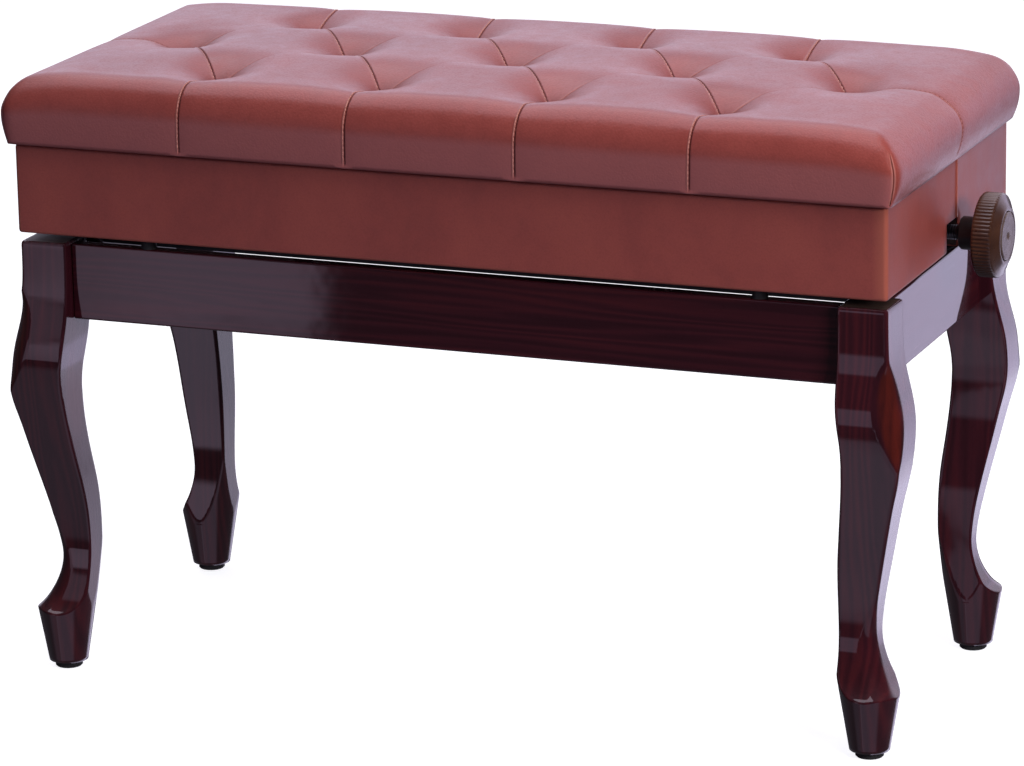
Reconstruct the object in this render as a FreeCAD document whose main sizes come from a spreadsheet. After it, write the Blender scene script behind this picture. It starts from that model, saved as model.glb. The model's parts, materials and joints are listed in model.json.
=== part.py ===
import FreeCAD, Part
import Sketcher
import math
import os

V = FreeCAD.Vector
Rotation = FreeCAD.Rotation
doc = FreeCAD.newDocument("piano_bench")

# ---------------------------------------------------------------- dimensions
# Bench frame: X along its length towards the knob, Y to the back, Z up, origin on the
# floor under the middle of the base. Millimetres.
SIZES = [
    # storage box
    ("box_length", 745.0), ("box_depth", 327.5), ("box_bottom", 377.3), ("box_top", 452.0),
    ("wrap_thick", 1.2), ("wall_thick", 14.0), ("floor_bottom", 406.0), ("floor_thick", 10.0),
    ("cleat_wide", 14.0), ("cleat_high", 14.0), ("wrap_round", 3.5),
    # legs and aprons
    ("leg_face_x", 372.0), ("leg_face_y", 161.0), ("leg_block", 41.0), ("leg_top", 370.0),
    ("apron_inset", 10.0), ("apron_thick", 13.0), ("apron_bottom", 304.5), ("apron_top", 368.0),
    ("apron_gap", 0.4),
    ("foot_inset_x", 19.5), ("foot_inset_y", 17.9), ("foot_low_radius", 16.3), ("foot_high_radius", 34.1),
    ("foot_low", 6.0), ("foot_high", 112.0), ("glide_radius", 11.5), ("bolt_flat", 8.0),
    ("knee_round", 14.5), ("knee_top", 330.0), ("knee_mid", 288.0), ("knee_low", 240.0),
    # bumpers between aprons and box
    ("bumper_x", 263.0), ("bumper_y", 144.5), ("bumper_radius", 6.5), ("bumper_high", 9.0),
    # corner brackets and leg bolts
    ("bracket_thick", 2.5), ("bracket_gap", 14.0), ("bracket_low", 314.0), ("bracket_high", 44.0),
    ("bracket_end_x", 262.0), ("bracket_end_y", 60.0), ("bolt_radius", 4.0), ("bolt_z", 336.0),
    ("nut_corner", 7.5), ("nut_high", 6.5),
    # lift
    ("pivot_x", 150.0), ("base_pivot_z", 357.0), ("arm_rise", 36.0), ("arm_len", 300.0),
    ("arm_angle", 6.892103), ("arm_reach", 297.8322), ("arm_reach_up", 276.6635),
    ("arm_thick", 4.0), ("arm_half", 9.0), ("outer_arm_y", 45.5), ("inner_arm_y", 40.5),
    ("rod_radius", 4.0), ("fit", 0.05), ("slot_gap", 0.9), ("pin_radius", 3.0),
    ("rail_face", 54.0), ("rail_thick", 3.0), ("rail_high", 24.0), ("rail_tab", 30.0),
    ("rail_half", 349.0), ("angle_thick", 2.5), ("angle_low", 381.0), ("angle_wide", 20.0),
    ("angle_left", 175.0), ("angle_right", 173.0), ("rod_half", 57.5),
    ("clip_radius", 7.0), ("clip_thick", 1.0),
    # screw, bearing and knob
    ("screw_y", 8.0), ("screw_z", 393.0), ("thread_radius", 7.0), ("shaft_radius", 6.0),
    ("thread_start", 105.0), ("thread_end", 328.0), ("shaft_end", 412.0), ("nut_bore", 8.0),
    ("head_half_x", 9.0), ("head_half_y", 38.0), ("head_half_z", 10.0),
    ("plate_x", 340.0), ("plate_thick", 4.0), ("plate_half", 24.0), ("plate_low", 379.5),
    ("flange_long", 24.0), ("flange_thick", 3.0), ("bush_radius", 8.0), ("bush_flange", 9.8),
    ("collar_radius", 9.6), ("collar_wide", 8.0),
    ("notch_front", 7.0), ("notch_back", 23.0), ("notch_top", 402.3),
    ("hub_start", 380.5), ("hub_radius", 13.5), ("knob_back", 397.2), ("knob_radius", 34.0),
    ("knob_rim", 16.8), ("knob_thick", 21.3), ("knob_face", 23.5), ("flute_count", 66),
    ("flute_radius", 1.1), ("cap_radius", 19.5), ("cap_thick", 3.0),
    # lid
    ("board_length", 752.0), ("board_depth", 334.0), ("lid_bottom", 454.0), ("board_thick", 12.0),
    ("cover_length", 764.0), ("cover_depth", 346.0), ("cover_top", 519.0), ("cover_round", 18.0),
    ("cover_shoulder", 25.0), ("cover_tuck", 6.0), ("skin_thick", 1.2), ("hem_wide", 30.0),
    # hinges
    ("hinge_x", 240.0), ("hinge_half", 30.0), ("hinge_y", 168.5), ("hinge_z", 452.6),
    ("knuckle_radius", 2.2), ("knuckle_half", 10.0), ("leaf_thick", 0.9), ("leaf_front", 150.0),
    ("hinge_pin_radius", 1.2), ("pad_radius", 5.0), ("pad_thick", 1.9),
    # small fasteners
    ("wood_screw", 2.0), ("screw_head", 4.0), ("head_high", 2.2),
]
# Profiles of a cabriole leg, across the bench (x) and front to back (y): height, then how far the
# face stands out of the block's outer face (outer curve), and where the inner face runs (inner curve).
OUTER_X = [(370, 0), (345, 0.2), (325, 1.6), (308, 5.0), (292, 9.0), (277, 11.8), (262, 12.6), (247, 12.1),
           (232, 10.0), (216, 6.1), (198, 2.0), (180, -1.9), (162, -5.8), (144, -9.6), (126, -13.0),
           (108, -15.2), (99.6, -15.6), (91, -14.9), (82.5, -13.0), (74.2, -10.2), (66, -6.4),
           (58.2, -1.6), (52.5, 3.6), (46.0, 11.5)]
INNER_X = [(370, -41), (330, -41), (310, -41), (292, -40.2), (277, -38.4), (262, -36.3), (247, -35.7),
           (232, -36.4), (216, -37.6), (198, -39.4), (180, -41.4), (162, -43.4), (144, -44.6), (126, -45.0),
           (108, -44.9), (92, -44.5), (70, -44.0), (46.0, -44.0)]
OUTER_Y = [(370, 0), (345, 0.0), (325, 1.3), (308, 5.0), (292, 9.2), (277, 11.4), (262, 11.0), (247, 9.2),
           (232, 6.6), (216, 3.6), (198, 0.4), (180, -3.4), (162, -7.4), (144, -11.2), (126, -14.0),
           (108, -15.2), (99.6, -15.0), (91, -13.9), (82.5, -11.9), (74.2, -9.0), (66, -5.4),
           (58.2, -0.8), (52.5, 4.2), (46.0, 12.0)]
INNER_Y = [(370, -41), (330, -41), (310, -41), (292, -40.0), (277, -38.0), (262, -35.2), (247, -32.4),
           (232, -31.2), (216, -31.2), (198, -32.2), (180, -34.4), (162, -37.0), (144, -38.8), (126, -39.6),
           (108, -39.8), (92, -39.8), (70, -40.2), (46.0, -41)]

sheet = doc.addObject("Spreadsheet::Sheet", "dims")
rows = list(SIZES)
for tag, table in (("xout", OUTER_X), ("xinn", INNER_X), ("yout", OUTER_Y), ("yinn", INNER_Y)):
    for k, (z, o) in enumerate(table):
        rows.append(("%s_height_%s" % (tag, chr(97 + k)), float(z)))
        rows.append(("%s_offset_%s" % (tag, chr(97 + k)), float(o)))
for k, (alias, value) in enumerate(rows, 1):
    sheet.set("A%d" % k, alias)
    sheet.set("B%d" % k, str(value))
    sheet.setAlias("B%d" % k, alias)
doc.recompute()


class Q:
    """A size with its formula in the sheet's words."""

    def __init__(self, value, text):
        self.v = float(value)
        self.e = text

    @staticmethod
    def of(other):
        return other if isinstance(other, Q) else Q(other, "(%.6f)" % float(other))

    def __add__(self, other):
        other = Q.of(other)
        return Q(self.v + other.v, "(%s + %s)" % (self.e, other.e))

    __radd__ = __add__

    def __sub__(self, other):
        other = Q.of(other)
        return Q(self.v - other.v, "(%s - %s)" % (self.e, other.e))

    def __rsub__(self, other):
        return Q.of(other) - self

    def __mul__(self, other):
        other = Q.of(other)
        return Q(self.v * other.v, "(%s * %s)" % (self.e, other.e))

    __rmul__ = __mul__

    def __truediv__(self, other):
        other = Q.of(other)
        return Q(self.v / other.v, "(%s / %s)" % (self.e, other.e))

    def __neg__(self):
        return Q(-self.v, "(0 - %s)" % self.e)


D = {alias: Q(sheet.get(alias), "dims." + alias) for alias, value in rows}
ROOT2 = math.sqrt(2.0)
NODES = {}


def node(label, obj):
    obj.Label = label
    NODES[label] = obj
    return obj


def bind(obj, prop, size):
    obj.setExpression(prop, Q.of(size).e)


def place(obj, x, y, z):
    bind(obj, "Placement.Base.x", x)
    bind(obj, "Placement.Base.y", y)
    bind(obj, "Placement.Base.z", z)


def box(name, x0, x1, y0, y1, z0, z1):
    o = doc.addObject("Part::Box", name)
    bind(o, "Length", Q.of(x1) - x0)
    bind(o, "Width", Q.of(y1) - y0)
    bind(o, "Height", Q.of(z1) - z0)
    place(o, x0, y0, z0)
    return o


TURN = {"x": Rotation(V(0, 1, 0), 90), "y": Rotation(V(1, 0, 0), -90), "z": Rotation(),
        "-z": Rotation(V(1, 0, 0), 180), "-y": Rotation(V(1, 0, 0), 90),
        "-x": Rotation(V(0, 1, 0), -90)}


def turned(direction):
    if isinstance(direction, str):
        return TURN[direction]
    return Rotation(V(0, 0, 1), V(*direction))


def cyl(name, direction, radius, x, y, z, length):
    o = doc.addObject("Part::Cylinder", name)
    bind(o, "Radius", radius)
    bind(o, "Height", length)
    o.Placement = FreeCAD.Placement(V(0, 0, 0), turned(direction))
    place(o, x, y, z)
    return o


def cone(name, direction, r0, r1, x, y, z, length):
    o = doc.addObject("Part::Cone", name)
    bind(o, "Radius1", r0)
    bind(o, "Radius2", r1)
    bind(o, "Height", length)
    o.Placement = FreeCAD.Placement(V(0, 0, 0), turned(direction))
    place(o, x, y, z)
    return o


def fuse(name, shapes):
    o = doc.addObject("Part::MultiFuse", name)
    o.Shapes = shapes
    return o


def common(name, shapes):
    o = doc.addObject("Part::MultiCommon", name)
    o.Shapes = shapes
    return o


def group(name, shapes):
    o = doc.addObject("Part::Compound", name)
    o.Links = shapes
    return o


def cut(name, base, tools):
    o = doc.addObject("Part::Cut", name)
    o.Base = base
    o.Tool = tools[0] if len(tools) == 1 else group(name + "_tools", tools)
    return o


def mirror(name, source, normal):
    o = doc.addObject("Part::Mirroring", name)
    o.Source = source
    o.Base = V(0, 0, 0)
    o.Normal = V(*normal)
    return o


def four(name, source):
    """The piece at all four corners of the bench."""
    mx = mirror(name + "_mx", source, (1, 0, 0))
    pair = group(name + "_pair", [source, mx])
    my = mirror(name + "_my", pair, (0, 1, 0))
    return group(name + "_four", [pair, my])


def origin_plane(body, role):
    for f in body.Origin.OriginFeatures:
        if f.Role == role:
            return f


def polygon_sketch(body, name, role, points):
    sk = body.newObject("Sketcher::SketchObject", name)
    sk.AttachmentSupport = [(origin_plane(body, role), "")]
    sk.MapMode = "FlatFace"
    pts = [(Q.of(a), Q.of(b)) for a, b in points]
    n = len(pts)
    for i in range(n):
        a, b = pts[i], pts[(i + 1) % n]
        sk.addGeometry(Part.LineSegment(V(a[0].v, a[1].v, 0), V(b[0].v, b[1].v, 0)), False)
    for i in range(n):
        sk.addConstraint(Sketcher.Constraint("Coincident", i, 2, (i + 1) % n, 1))
    for i, (a, b) in enumerate(pts):
        for q, kind, axis in ((a, "DistanceX", -2), (b, "DistanceY", -1)):
            if abs(q.v) < 1e-9:
                sk.addConstraint(Sketcher.Constraint("PointOnObject", i, 1, axis))
            else:
                c = sk.addConstraint(Sketcher.Constraint(kind, -1, 1, i, 1, q.v))
                sk.setExpression("Constraints[%d]" % c, q.e)
    return sk


def pad_body(name, role, points, length):
    body = doc.addObject("PartDesign::Body", name)
    sk = polygon_sketch(body, name + "_outline", role, points)
    pad = body.newObject("PartDesign::Pad", name + "_pad")
    pad.Profile = sk
    bind(pad, "Length", length)
    return body


def turned_body(name, role, axis, points):
    body = doc.addObject("PartDesign::Body", name)
    sk = polygon_sketch(body, name + "_outline", role, points)
    rev = body.newObject("PartDesign::Revolution", name + "_turn")
    rev.Profile = sk
    rev.ReferenceAxis = (sk, [axis])
    rev.Angle = 360.0
    return body


def pan_screw(name, direction, x, y, z, length, back):
    """Pan-head wood screw: (x, y, z) is the seat under the head, length goes along direction
    and back is the opposite direction."""
    return fuse(name, [cyl(name + "_shank", direction, D["wood_screw"], x, y, z, length),
                       cyl(name + "_head", back, D["screw_head"], x, y, z, D["head_high"])])


# ---------------------------------------------------------------- cabriole legs
def curve(tag, table, base, sign):
    pts = []
    for k in range(len(table)):
        z = D["%s_height_%s" % (tag, chr(97 + k))].v
        o = D["%s_offset_%s" % (tag, chr(97 + k))].v
        pts.append((base + sign * o, z))
    return pts


def profile_face(to_point, base, way, outs, inns):
    """Closed face between the outer and inner curve of a leg, in the plane given by to_point."""
    outer = [to_point(p, z) for p, z in curve(way + "out", outs, base, 1.0)]
    inner = [to_point(p, z) for p, z in curve(way + "inn", inns, base, 1.0)]
    low = D["foot_low"].v
    wide = base + 16.0
    a = Part.BSplineCurve()
    a.interpolate(outer)
    b = Part.BSplineCurve()
    b.interpolate(inner)
    edges = [a.toShape()]
    path = [outer[-1], to_point(wide, outs[-1][0] - 4.0), to_point(wide, low - 2.0),
            to_point(base - 50.0, low - 2.0), to_point(base - 50.0, inns[-1][0] - 6.0), inner[-1]]
    for p, q in zip(path, path[1:]):
        edges.append(Part.LineSegment(p, q).toShape())
    edges.append(b.toShape())
    edges.append(Part.LineSegment(inner[0], outer[0]).toShape())
    return Part.Face(Part.Wire(Part.__sortEdges__(edges)))


def offset_at(z, table):
    zs = [p[0] for p in table]
    os_ = [p[1] for p in table]
    for k in range(len(zs) - 1):
        if zs[k] >= z >= zs[k + 1]:
            t = (zs[k] - z) / (zs[k] - zs[k + 1])
            return os_[k] * (1 - t) + os_[k + 1] * t
    return 0.0


face_x = doc.addObject("Part::Feature", "leg_profile_front")
face_x.Shape = profile_face(lambda p, z: V(p, 0, z), D["leg_face_x"].v, "x", OUTER_X, INNER_X)
face_y = doc.addObject("Part::Feature", "leg_profile_side")
face_y.Shape = profile_face(lambda p, z: V(0, -p, z), D["leg_face_y"].v, "y", OUTER_Y, INNER_Y)
run_y = doc.addObject("Part::Extrusion", "leg_front_run")
run_y.Base = face_x
run_y.Dir = V(0, -1, 0)
run_y.DirMode = "Custom"
bind(run_y, "LengthFwd", D["leg_face_y"] + 40)
run_y.Solid = True
run_x = doc.addObject("Part::Extrusion", "leg_side_run")
run_x.Base = face_y
run_x.Dir = V(1, 0, 0)
run_x.DirMode = "Custom"
bind(run_x, "LengthFwd", D["leg_face_x"] + 40)
run_x.Solid = True
foot = cone("leg_foot", "z", D["foot_low_radius"], D["foot_high_radius"],
            D["leg_face_x"] - D["foot_inset_x"], D["foot_inset_y"] - D["leg_face_y"], D["foot_low"],
            D["foot_high"] - D["foot_low"])
shank = box("leg_shank", D["leg_face_x"] - 80, D["leg_face_x"] + 40, -(D["leg_face_y"] + 40),
            80 - D["leg_face_y"], D["foot_high"], D["leg_top"])
leg_raw = common("leg_raw", [run_y, run_x, fuse("leg_envelope", [foot, shank])])

# Rounded knee: the outer corner is cut back most at mid knee and runs out above and below.
knee = doc.addObject("Part::Feature", "leg_knee_cutter")
sections = []
top, mid, low, big = D["knee_top"].v, D["knee_mid"].v, D["knee_low"].v, D["knee_round"].v
for k in range(13):
    t = k / 12.0
    z = top + (low - top) * t
    s = (top - z) / (top - mid) * 0.5 if z > mid else 0.5 + (mid - z) / (mid - low) * 0.5
    c = max(0.4, big * math.sin(math.pi * s) ** 0.9)
    ox = D["leg_face_x"].v + offset_at(z, OUTER_X)
    oy = -(D["leg_face_y"].v + offset_at(z, OUTER_Y))
    t1, t2 = V(ox - c, oy, z), V(ox, oy + c, z)
    m = V(ox - 0.36 * c, oy + 0.36 * c, z)
    e = [Part.LineSegment(t1, V(ox - c, oy - 3, z)).toShape(),
         Part.LineSegment(V(ox - c, oy - 3, z), V(ox + 3, oy - 3, z)).toShape(),
         Part.LineSegment(V(ox + 3, oy - 3, z), V(ox + 3, oy + c, z)).toShape(),
         Part.LineSegment(V(ox + 3, oy + c, z), t2).toShape(),
         Part.Arc(t2, m, t1).toShape()]
    sections.append(Part.Wire(e))
knee.Shape = Part.makeLoft(sections, True, False)

lx = D["leg_face_x"] - D["leg_block"]
ly = D["leg_face_y"] - D["leg_block"]
flat = doc.addObject("Part::Box", "leg_bolt_flat")
bind(flat, "Length", 30)
bind(flat, "Width", 30)
bind(flat, "Height", D["bracket_high"] + 4)
flat.Placement = FreeCAD.Placement(V(0, 0, 0), Rotation(V(0, 0, 1), 45))
place(flat, lx - 15 * ROOT2 + D["bolt_flat"] / 2, -ly - D["bolt_flat"] / 2, D["bracket_low"] - 2)
OUT = (1.0, -1.0, 0.0)
INW = (-1.0, 1.0, 0.0)
leg_hole = cyl("leg_bolt_hole", OUT, D["bolt_radius"] + D["fit"], lx, -ly, D["bolt_z"], 33)
leg = cut("leg_made", leg_raw, [knee, flat, leg_hole])
doc.recompute()
node("leg_front_right", leg)
node("leg_front_left", mirror("leg_fl", leg, (1, 0, 0)))
node("leg_back_right", mirror("leg_br", leg, (0, 1, 0)))
node("leg_back_left", mirror("leg_bl", NODES["leg_back_right"], (1, 0, 0)))

glide = turned_body("glide", "XZ_Plane", "V_Axis",
                    [(0, 0), (D["glide_radius"] - 1, 0), (D["glide_radius"], 1),
                     (D["glide_radius"] - 0.6, D["foot_low"]), (0, D["foot_low"])])
place(glide, D["leg_face_x"] - D["foot_inset_x"], D["foot_inset_y"] - D["leg_face_y"], 0)
node("foot_glides", four("glides", glide))

# ---------------------------------------------------------------- aprons
ay = D["leg_face_y"] - D["apron_inset"]
ax = D["leg_face_x"] - D["apron_inset"]
iy = ay - D["apron_thick"]
ix = ax - D["apron_thick"]
high = D["apron_top"] - D["apron_bottom"]


def apron(name, half_long, near, far, along_x):
    if along_x:
        pts = [(-half_long, near), (half_long, near), (half_long, far), (-half_long, far)]
    else:
        pts = [(near, -half_long), (far, -half_long), (far, half_long), (near, half_long)]
    body = pad_body(name, "XY_Plane", pts, high)
    place(body, 0, 0, D["apron_bottom"])
    return body


raw_front = apron("front_apron_board", lx - D["apron_gap"], -ay, -iy, True)
raw_back = apron("back_apron_board", lx - D["apron_gap"], iy, ay, True)
raw_left = apron("left_apron_board", ly - D["apron_gap"], -ax, -ix, False)
raw_right = apron("right_apron_board", ly - D["apron_gap"], ix, ax, False)

# Screw positions of one corner (right, front); the other corners are mirror images.
bt, bg = D["bracket_thick"], D["bracket_gap"]
fx = (D["bracket_end_x"] + (lx - (D["leg_block"] - D["apron_inset"] - D["apron_thick"]) - bg * ROOT2)) / 2
sy = -(D["bracket_end_y"] + (ly - (D["leg_block"] - D["apron_inset"] - D["apron_thick"]) - bg * ROOT2)) / 2
ZS = (D["bolt_z"] - 11, D["bolt_z"] + 11)


def front_holes(name, r, y, length):
    return [cyl("%s_%d" % (name, k), "-y", r, fx, y, z, length) for k, z in enumerate(ZS)]


def side_holes(name, r, x, length):
    return [cyl("%s_%d" % (name, k), "x", r, x, sy, z, length) for k, z in enumerate(ZS)]


hole_r = D["wood_screw"] + D["fit"]
corner_holes = four("corner_holes", group("corner_hole_set",
    front_holes("fh", hole_r, bt - iy, bt + 10.7) + side_holes("sh", hole_r, ix - bt, bt + 10.7)))

# ---------------------------------------------------------------- corner brackets and leg bolts
step = D["leg_block"] - D["apron_inset"] - D["apron_thick"]
px = lx - step - bg * ROOT2
py = -(ly - step - bg * ROOT2)
k45 = bt * (ROOT2 - 1)
bracket = pad_body("corner_bracket", "XY_Plane",
                   [(D["bracket_end_x"], -iy), (px, -iy), (ix, py), (ix, -D["bracket_end_y"]),
                    (ix - bt, -D["bracket_end_y"]), (ix - bt, py + k45), (px - k45, bt - iy),
                    (D["bracket_end_x"], bt - iy)], D["bracket_high"])
place(bracket, 0, 0, D["bracket_low"])
web_x = (px + ix) / 2
web_y = (py - iy) / 2
bracket_made = cut("bracket_made", bracket,
                   front_holes("bf", hole_r + 0.1, bt - iy + 1, bt + 2)
                   + side_holes("bs", hole_r + 0.1, ix - bt - 1, bt + 2)
                   + [cyl("bracket_bolt_hole", INW, D["bolt_radius"] + 0.2, web_x + 4, web_y - 4,
                          D["bolt_z"], 14)])
node("corner_brackets", four("brackets", bracket_made))

screws = [pan_screw("bracket_screw_f%d" % k, "-y", fx, bt - iy, z, bt + 10.5, "y") for k, z in enumerate(ZS)]
screws += [pan_screw("bracket_screw_s%d" % k, "x", ix - bt, sy, z, bt + 10.5, "-x") for k, z in enumerate(ZS)]
node("bracket_screws", four("bracket_screw_sets", group("bracket_screw_set", screws)))

# The bolt runs on the diagonal from inside the leg, across the gap and through the web.
inset = 31.0 / ROOT2
bolt = cyl("leg_bolt", INW, D["bolt_radius"], lx + inset, -ly - inset, D["bolt_z"], 31 + bg + bt + 12)
node("leg_bolts", four("leg_bolt_set", bolt))
nut_x = web_x - bt / ROOT2
nut_y = web_y + bt / ROOT2
nut = doc.addObject("Part::Prism", "leg_nut_blank")
nut.Polygon = 6
bind(nut, "Circumradius", D["nut_corner"])
bind(nut, "Height", D["nut_high"])
nut.Placement = FreeCAD.Placement(V(0, 0, 0), turned(INW))
place(nut, nut_x, nut_y, D["bolt_z"])
nut_made = cut("leg_nut", nut, [cyl("leg_nut_bore", INW, D["bolt_radius"] + D["fit"], nut_x + 2, nut_y - 2,
                                    D["bolt_z"], 14)])
node("leg_bolt_nuts", four("leg_nut_set", nut_made))

# ---------------------------------------------------------------- bumpers under the box
bumper = turned_body("bumper", "XZ_Plane", "V_Axis",
                     [(0, 0), (D["bumper_radius"], 0), (D["bumper_radius"] - 0.5, D["bumper_high"] - 1.5),
                      (D["bumper_radius"] - 2, D["bumper_high"]), (0, D["bumper_high"])])
place(bumper, D["bumper_x"], -D["bumper_y"], D["apron_top"])
node("seat_bumpers", four("bumpers", bumper))

# ---------------------------------------------------------------- fixed rails of the lift
rf, rt = D["rail_face"], D["rail_thick"]
rail_low = D["base_pivot_z"] - D["rail_high"] / 2
rail = pad_body("base_rail", "XY_Plane",
                [(-D["rail_half"], -rf), (D["rail_half"], -rf), (D["rail_half"], D["rail_tab"] - rf),
                 (D["rail_half"] - rt, D["rail_tab"] - rf), (D["rail_half"] - rt, rt - rf),
                 (rt - D["rail_half"], rt - rf), (rt - D["rail_half"], D["rail_tab"] - rf),
                 (-D["rail_half"], D["rail_tab"] - rf)], D["rail_high"])
place(rail, 0, 0, rail_low)


def slot(name, y0, y1, z):
    """Slot for a sliding rod, as long as its travel."""
    r = D["rod_radius"] + D["slot_gap"]
    xa = D["arm_reach_up"] - D["pivot_x"] - 1.5
    xb = D["arm_reach"] - D["pivot_x"] + 1.5
    return fuse(name, [box(name + "_run", xa, xb, y0, y1, z - r, z + r),
                       cyl(name + "_a", "y", r, xa, y0, z, Q.of(y1) - y0),
                       cyl(name + "_b", "y", r, xb, y0, z, Q.of(y1) - y0)])


TAB_Y = (D["rail_tab"] - rf - 8, D["rail_tab"] - rf - 20)
tab_z = D["base_pivot_z"]


def tab_holes(name, r, x, length):
    return [cyl("%s_%d" % (name, k), "x", r, x, y, tab_z, length) for k, y in enumerate(TAB_Y)]


tab_right = tab_holes("th", hole_r, D["rail_half"] - rt - 1, rt + 12)
tab_set = group("tab_holes_right", tab_right)
tab_all = four("tab_holes", tab_set)
rail_front = cut("base_rail_made", rail,
                 [cyl("rail_pivot_hole", "y", D["rod_radius"] + D["fit"], -D["pivot_x"], -rf - 1,
                      D["base_pivot_z"], rt + 2),
                  slot("rail_slot", -rf - 1, rt - rf + 1, D["base_pivot_z"]), tab_all])
node("base_rail_front", rail_front)
node("base_rail_back", mirror("base_rail_b", rail_front, (0, 1, 0)))
rail_screws = [pan_screw("rail_screw_%d" % k, "x", D["rail_half"] - rt, y, tab_z, rt + 11, "-x")
               for k, y in enumerate(TAB_Y)]
node("base_rail_screws", four("rail_screw_sets", group("rail_screw_set", rail_screws)))

node("apron_front", cut("apron_f", raw_front, [corner_holes]))
node("apron_back", cut("apron_b", raw_back, [corner_holes]))
node("apron_left", cut("apron_l", raw_left, [corner_holes, tab_all]))
node("apron_right", cut("apron_r", raw_right, [corner_holes, tab_all]))


def clip(name, x, z):
    """Retaining rings on both ends of a cross rod."""
    ring = cut(name + "_ring",
               cyl(name + "_disc", "y", D["clip_radius"], x, D["rail_face"] + 0.4, z, D["clip_thick"]),
               [cyl(name + "_bore", "y", D["rod_radius"], x, D["rail_face"], z, 4)])
    return group(name, [ring, mirror(name + "_m", ring, (0, 1, 0))])


left = -D["pivot_x"]
right = D["arm_reach"] - D["pivot_x"]
seat_z = D["base_pivot_z"] + D["arm_rise"]
rod_long = D["rod_half"] * 2
node("base_pivot_rod", cyl("base_rod", "y", D["rod_radius"], left, -D["rod_half"], D["base_pivot_z"], rod_long))
node("base_rod_clips", clip("base_clip", left, D["base_pivot_z"]))

# ---------------------------------------------------------------- scissor arms
run, half = D["arm_len"], D["arm_half"]


def arm(name, y, end_a, end_b, centre, pivot_x, pivot_z, angle):
    """Flat bar with round ends; end_a is its hinged end."""
    bar = fuse(name + "_bar", [box(name + "_run", 0, run, 0, D["arm_thick"], -half, half),
                               cyl(name + "_a", "y", half, 0, 0, 0, D["arm_thick"]),
                               cyl(name + "_b", "y", half, run, 0, 0, D["arm_thick"])])
    made = cut(name, bar, [cyl(name + "_ha", "y", end_a, 0, -1, 0, D["arm_thick"] + 2),
                           cyl(name + "_hb", "y", end_b, run, -1, 0, D["arm_thick"] + 2),
                           cyl(name + "_hc", "y", centre, run / 2, -1, 0, D["arm_thick"] + 2)])
    made.Placement = FreeCAD.Placement(V(0, 0, 0), Rotation(V(0, 1, 0), 1.0))
    bind(made, "Placement.Rotation.Angle", angle)
    place(made, pivot_x, y, pivot_z)
    return made


free = D["rod_radius"] + D["fit"]
held = D["rod_radius"]
lower_b = node("lower_arm_back", arm("lower_arm_b", D["outer_arm_y"], free, free, D["pin_radius"], left,
                                     D["base_pivot_z"], -D["arm_angle"]))
node("lower_arm_front", mirror("lower_arm_f", lower_b, (0, 1, 0)))
upper_b = node("upper_arm_back", arm("upper_arm_b", D["inner_arm_y"], free, held, D["pin_radius"] + D["slot_gap"],
                                     left, seat_z, D["arm_angle"]))
node("upper_arm_front", mirror("upper_arm_f", upper_b, (0, 1, 0)))

pin_x = D["arm_reach"] / 2 - D["pivot_x"]
pin_z = D["base_pivot_z"] + D["arm_rise"] / 2
pin = fuse("centre_pin", [cyl("centre_pin_shank", "y", D["pin_radius"], pin_x, D["inner_arm_y"] - 0.4, pin_z,
                              D["outer_arm_y"] + D["arm_thick"] - D["inner_arm_y"] + 0.4),
                          cyl("centre_pin_head", "-y", D["pin_radius"] + 2.5, pin_x, D["inner_arm_y"] - 0.4, pin_z,
                              1.6)])
node("centre_pins", group("centre_pin_pair", [pin, mirror("centre_pin_m", pin, (0, 1, 0))]))
node("slide_rod", cyl("slide_rod_bar", "y", D["rod_radius"], right, -D["rod_half"], D["base_pivot_z"], rod_long))
node("slide_rod_clips", clip("slide_clip", right, D["base_pivot_z"]))

# ---------------------------------------------------------------- crosshead that the screw pulls
head = fuse("crosshead_blank",
            [box("crosshead_bar", right - D["head_half_x"], right + D["head_half_x"], -D["head_half_y"],
                 D["head_half_y"], seat_z - D["head_half_z"], seat_z + D["head_half_z"]),
             cyl("crosshead_axle", "y", D["rod_radius"], right, -D["rod_half"], seat_z, rod_long)])
node("drive_crosshead", cut("crosshead", head,
                            [cyl("crosshead_bore", "x", D["nut_bore"], right - 20, D["screw_y"], seat_z, 40)]))
node("crosshead_clips", clip("crosshead_clip", right, seat_z))

# ---------------------------------------------------------------- rails under the storage floor
at = D["angle_thick"]
angle = pad_body("seat_rail", "YZ_Plane",
                 [(-rf, D["angle_low"]), (at - rf, D["angle_low"]), (at - rf, D["floor_bottom"]),
                  (-rf - D["angle_wide"], D["floor_bottom"]), (-rf - D["angle_wide"], D["floor_bottom"] - at),
                  (-rf, D["floor_bottom"] - at)], D["angle_left"] + D["angle_right"])
place(angle, -D["angle_left"], 0, 0)
FLOOR_X = (-160.0, -50.0, 60.0, 160.0)
flange_y = -rf - D["angle_wide"] / 2
rail_bores = [cyl("seat_rail_hole_%d" % k, "z", hole_r, x, flange_y, D["floor_bottom"] - at - 1, at + 8.2)
              for k, x in enumerate(FLOOR_X)]
seat_front = cut("seat_rail_f", angle,
                 [cyl("seat_pivot_hole", "y", free, left, -rf - 1, seat_z, at + 2),
                  slot("seat_slot", -rf - 1, at - rf + 1, seat_z)] + rail_bores)
node("seat_rail_front", seat_front)
node("seat_rail_back", mirror("seat_rail_b", seat_front, (0, 1, 0)))
floor_screws = group("floor_screws", [pan_screw("floor_screw_%d" % k, "z", x, flange_y, D["floor_bottom"] - at,
                                                at + 7, "-z") for k, x in enumerate(FLOOR_X)])
node("seat_rail_screws", group("floor_screw_sets", [floor_screws, mirror("floor_screws_m", floor_screws, (0, 1, 0))]))
node("seat_pivot_rod", cyl("seat_rod", "y", D["rod_radius"], left, -D["rod_half"], seat_z, rod_long))
node("seat_rod_clips", clip("seat_clip", left, seat_z))

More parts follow.
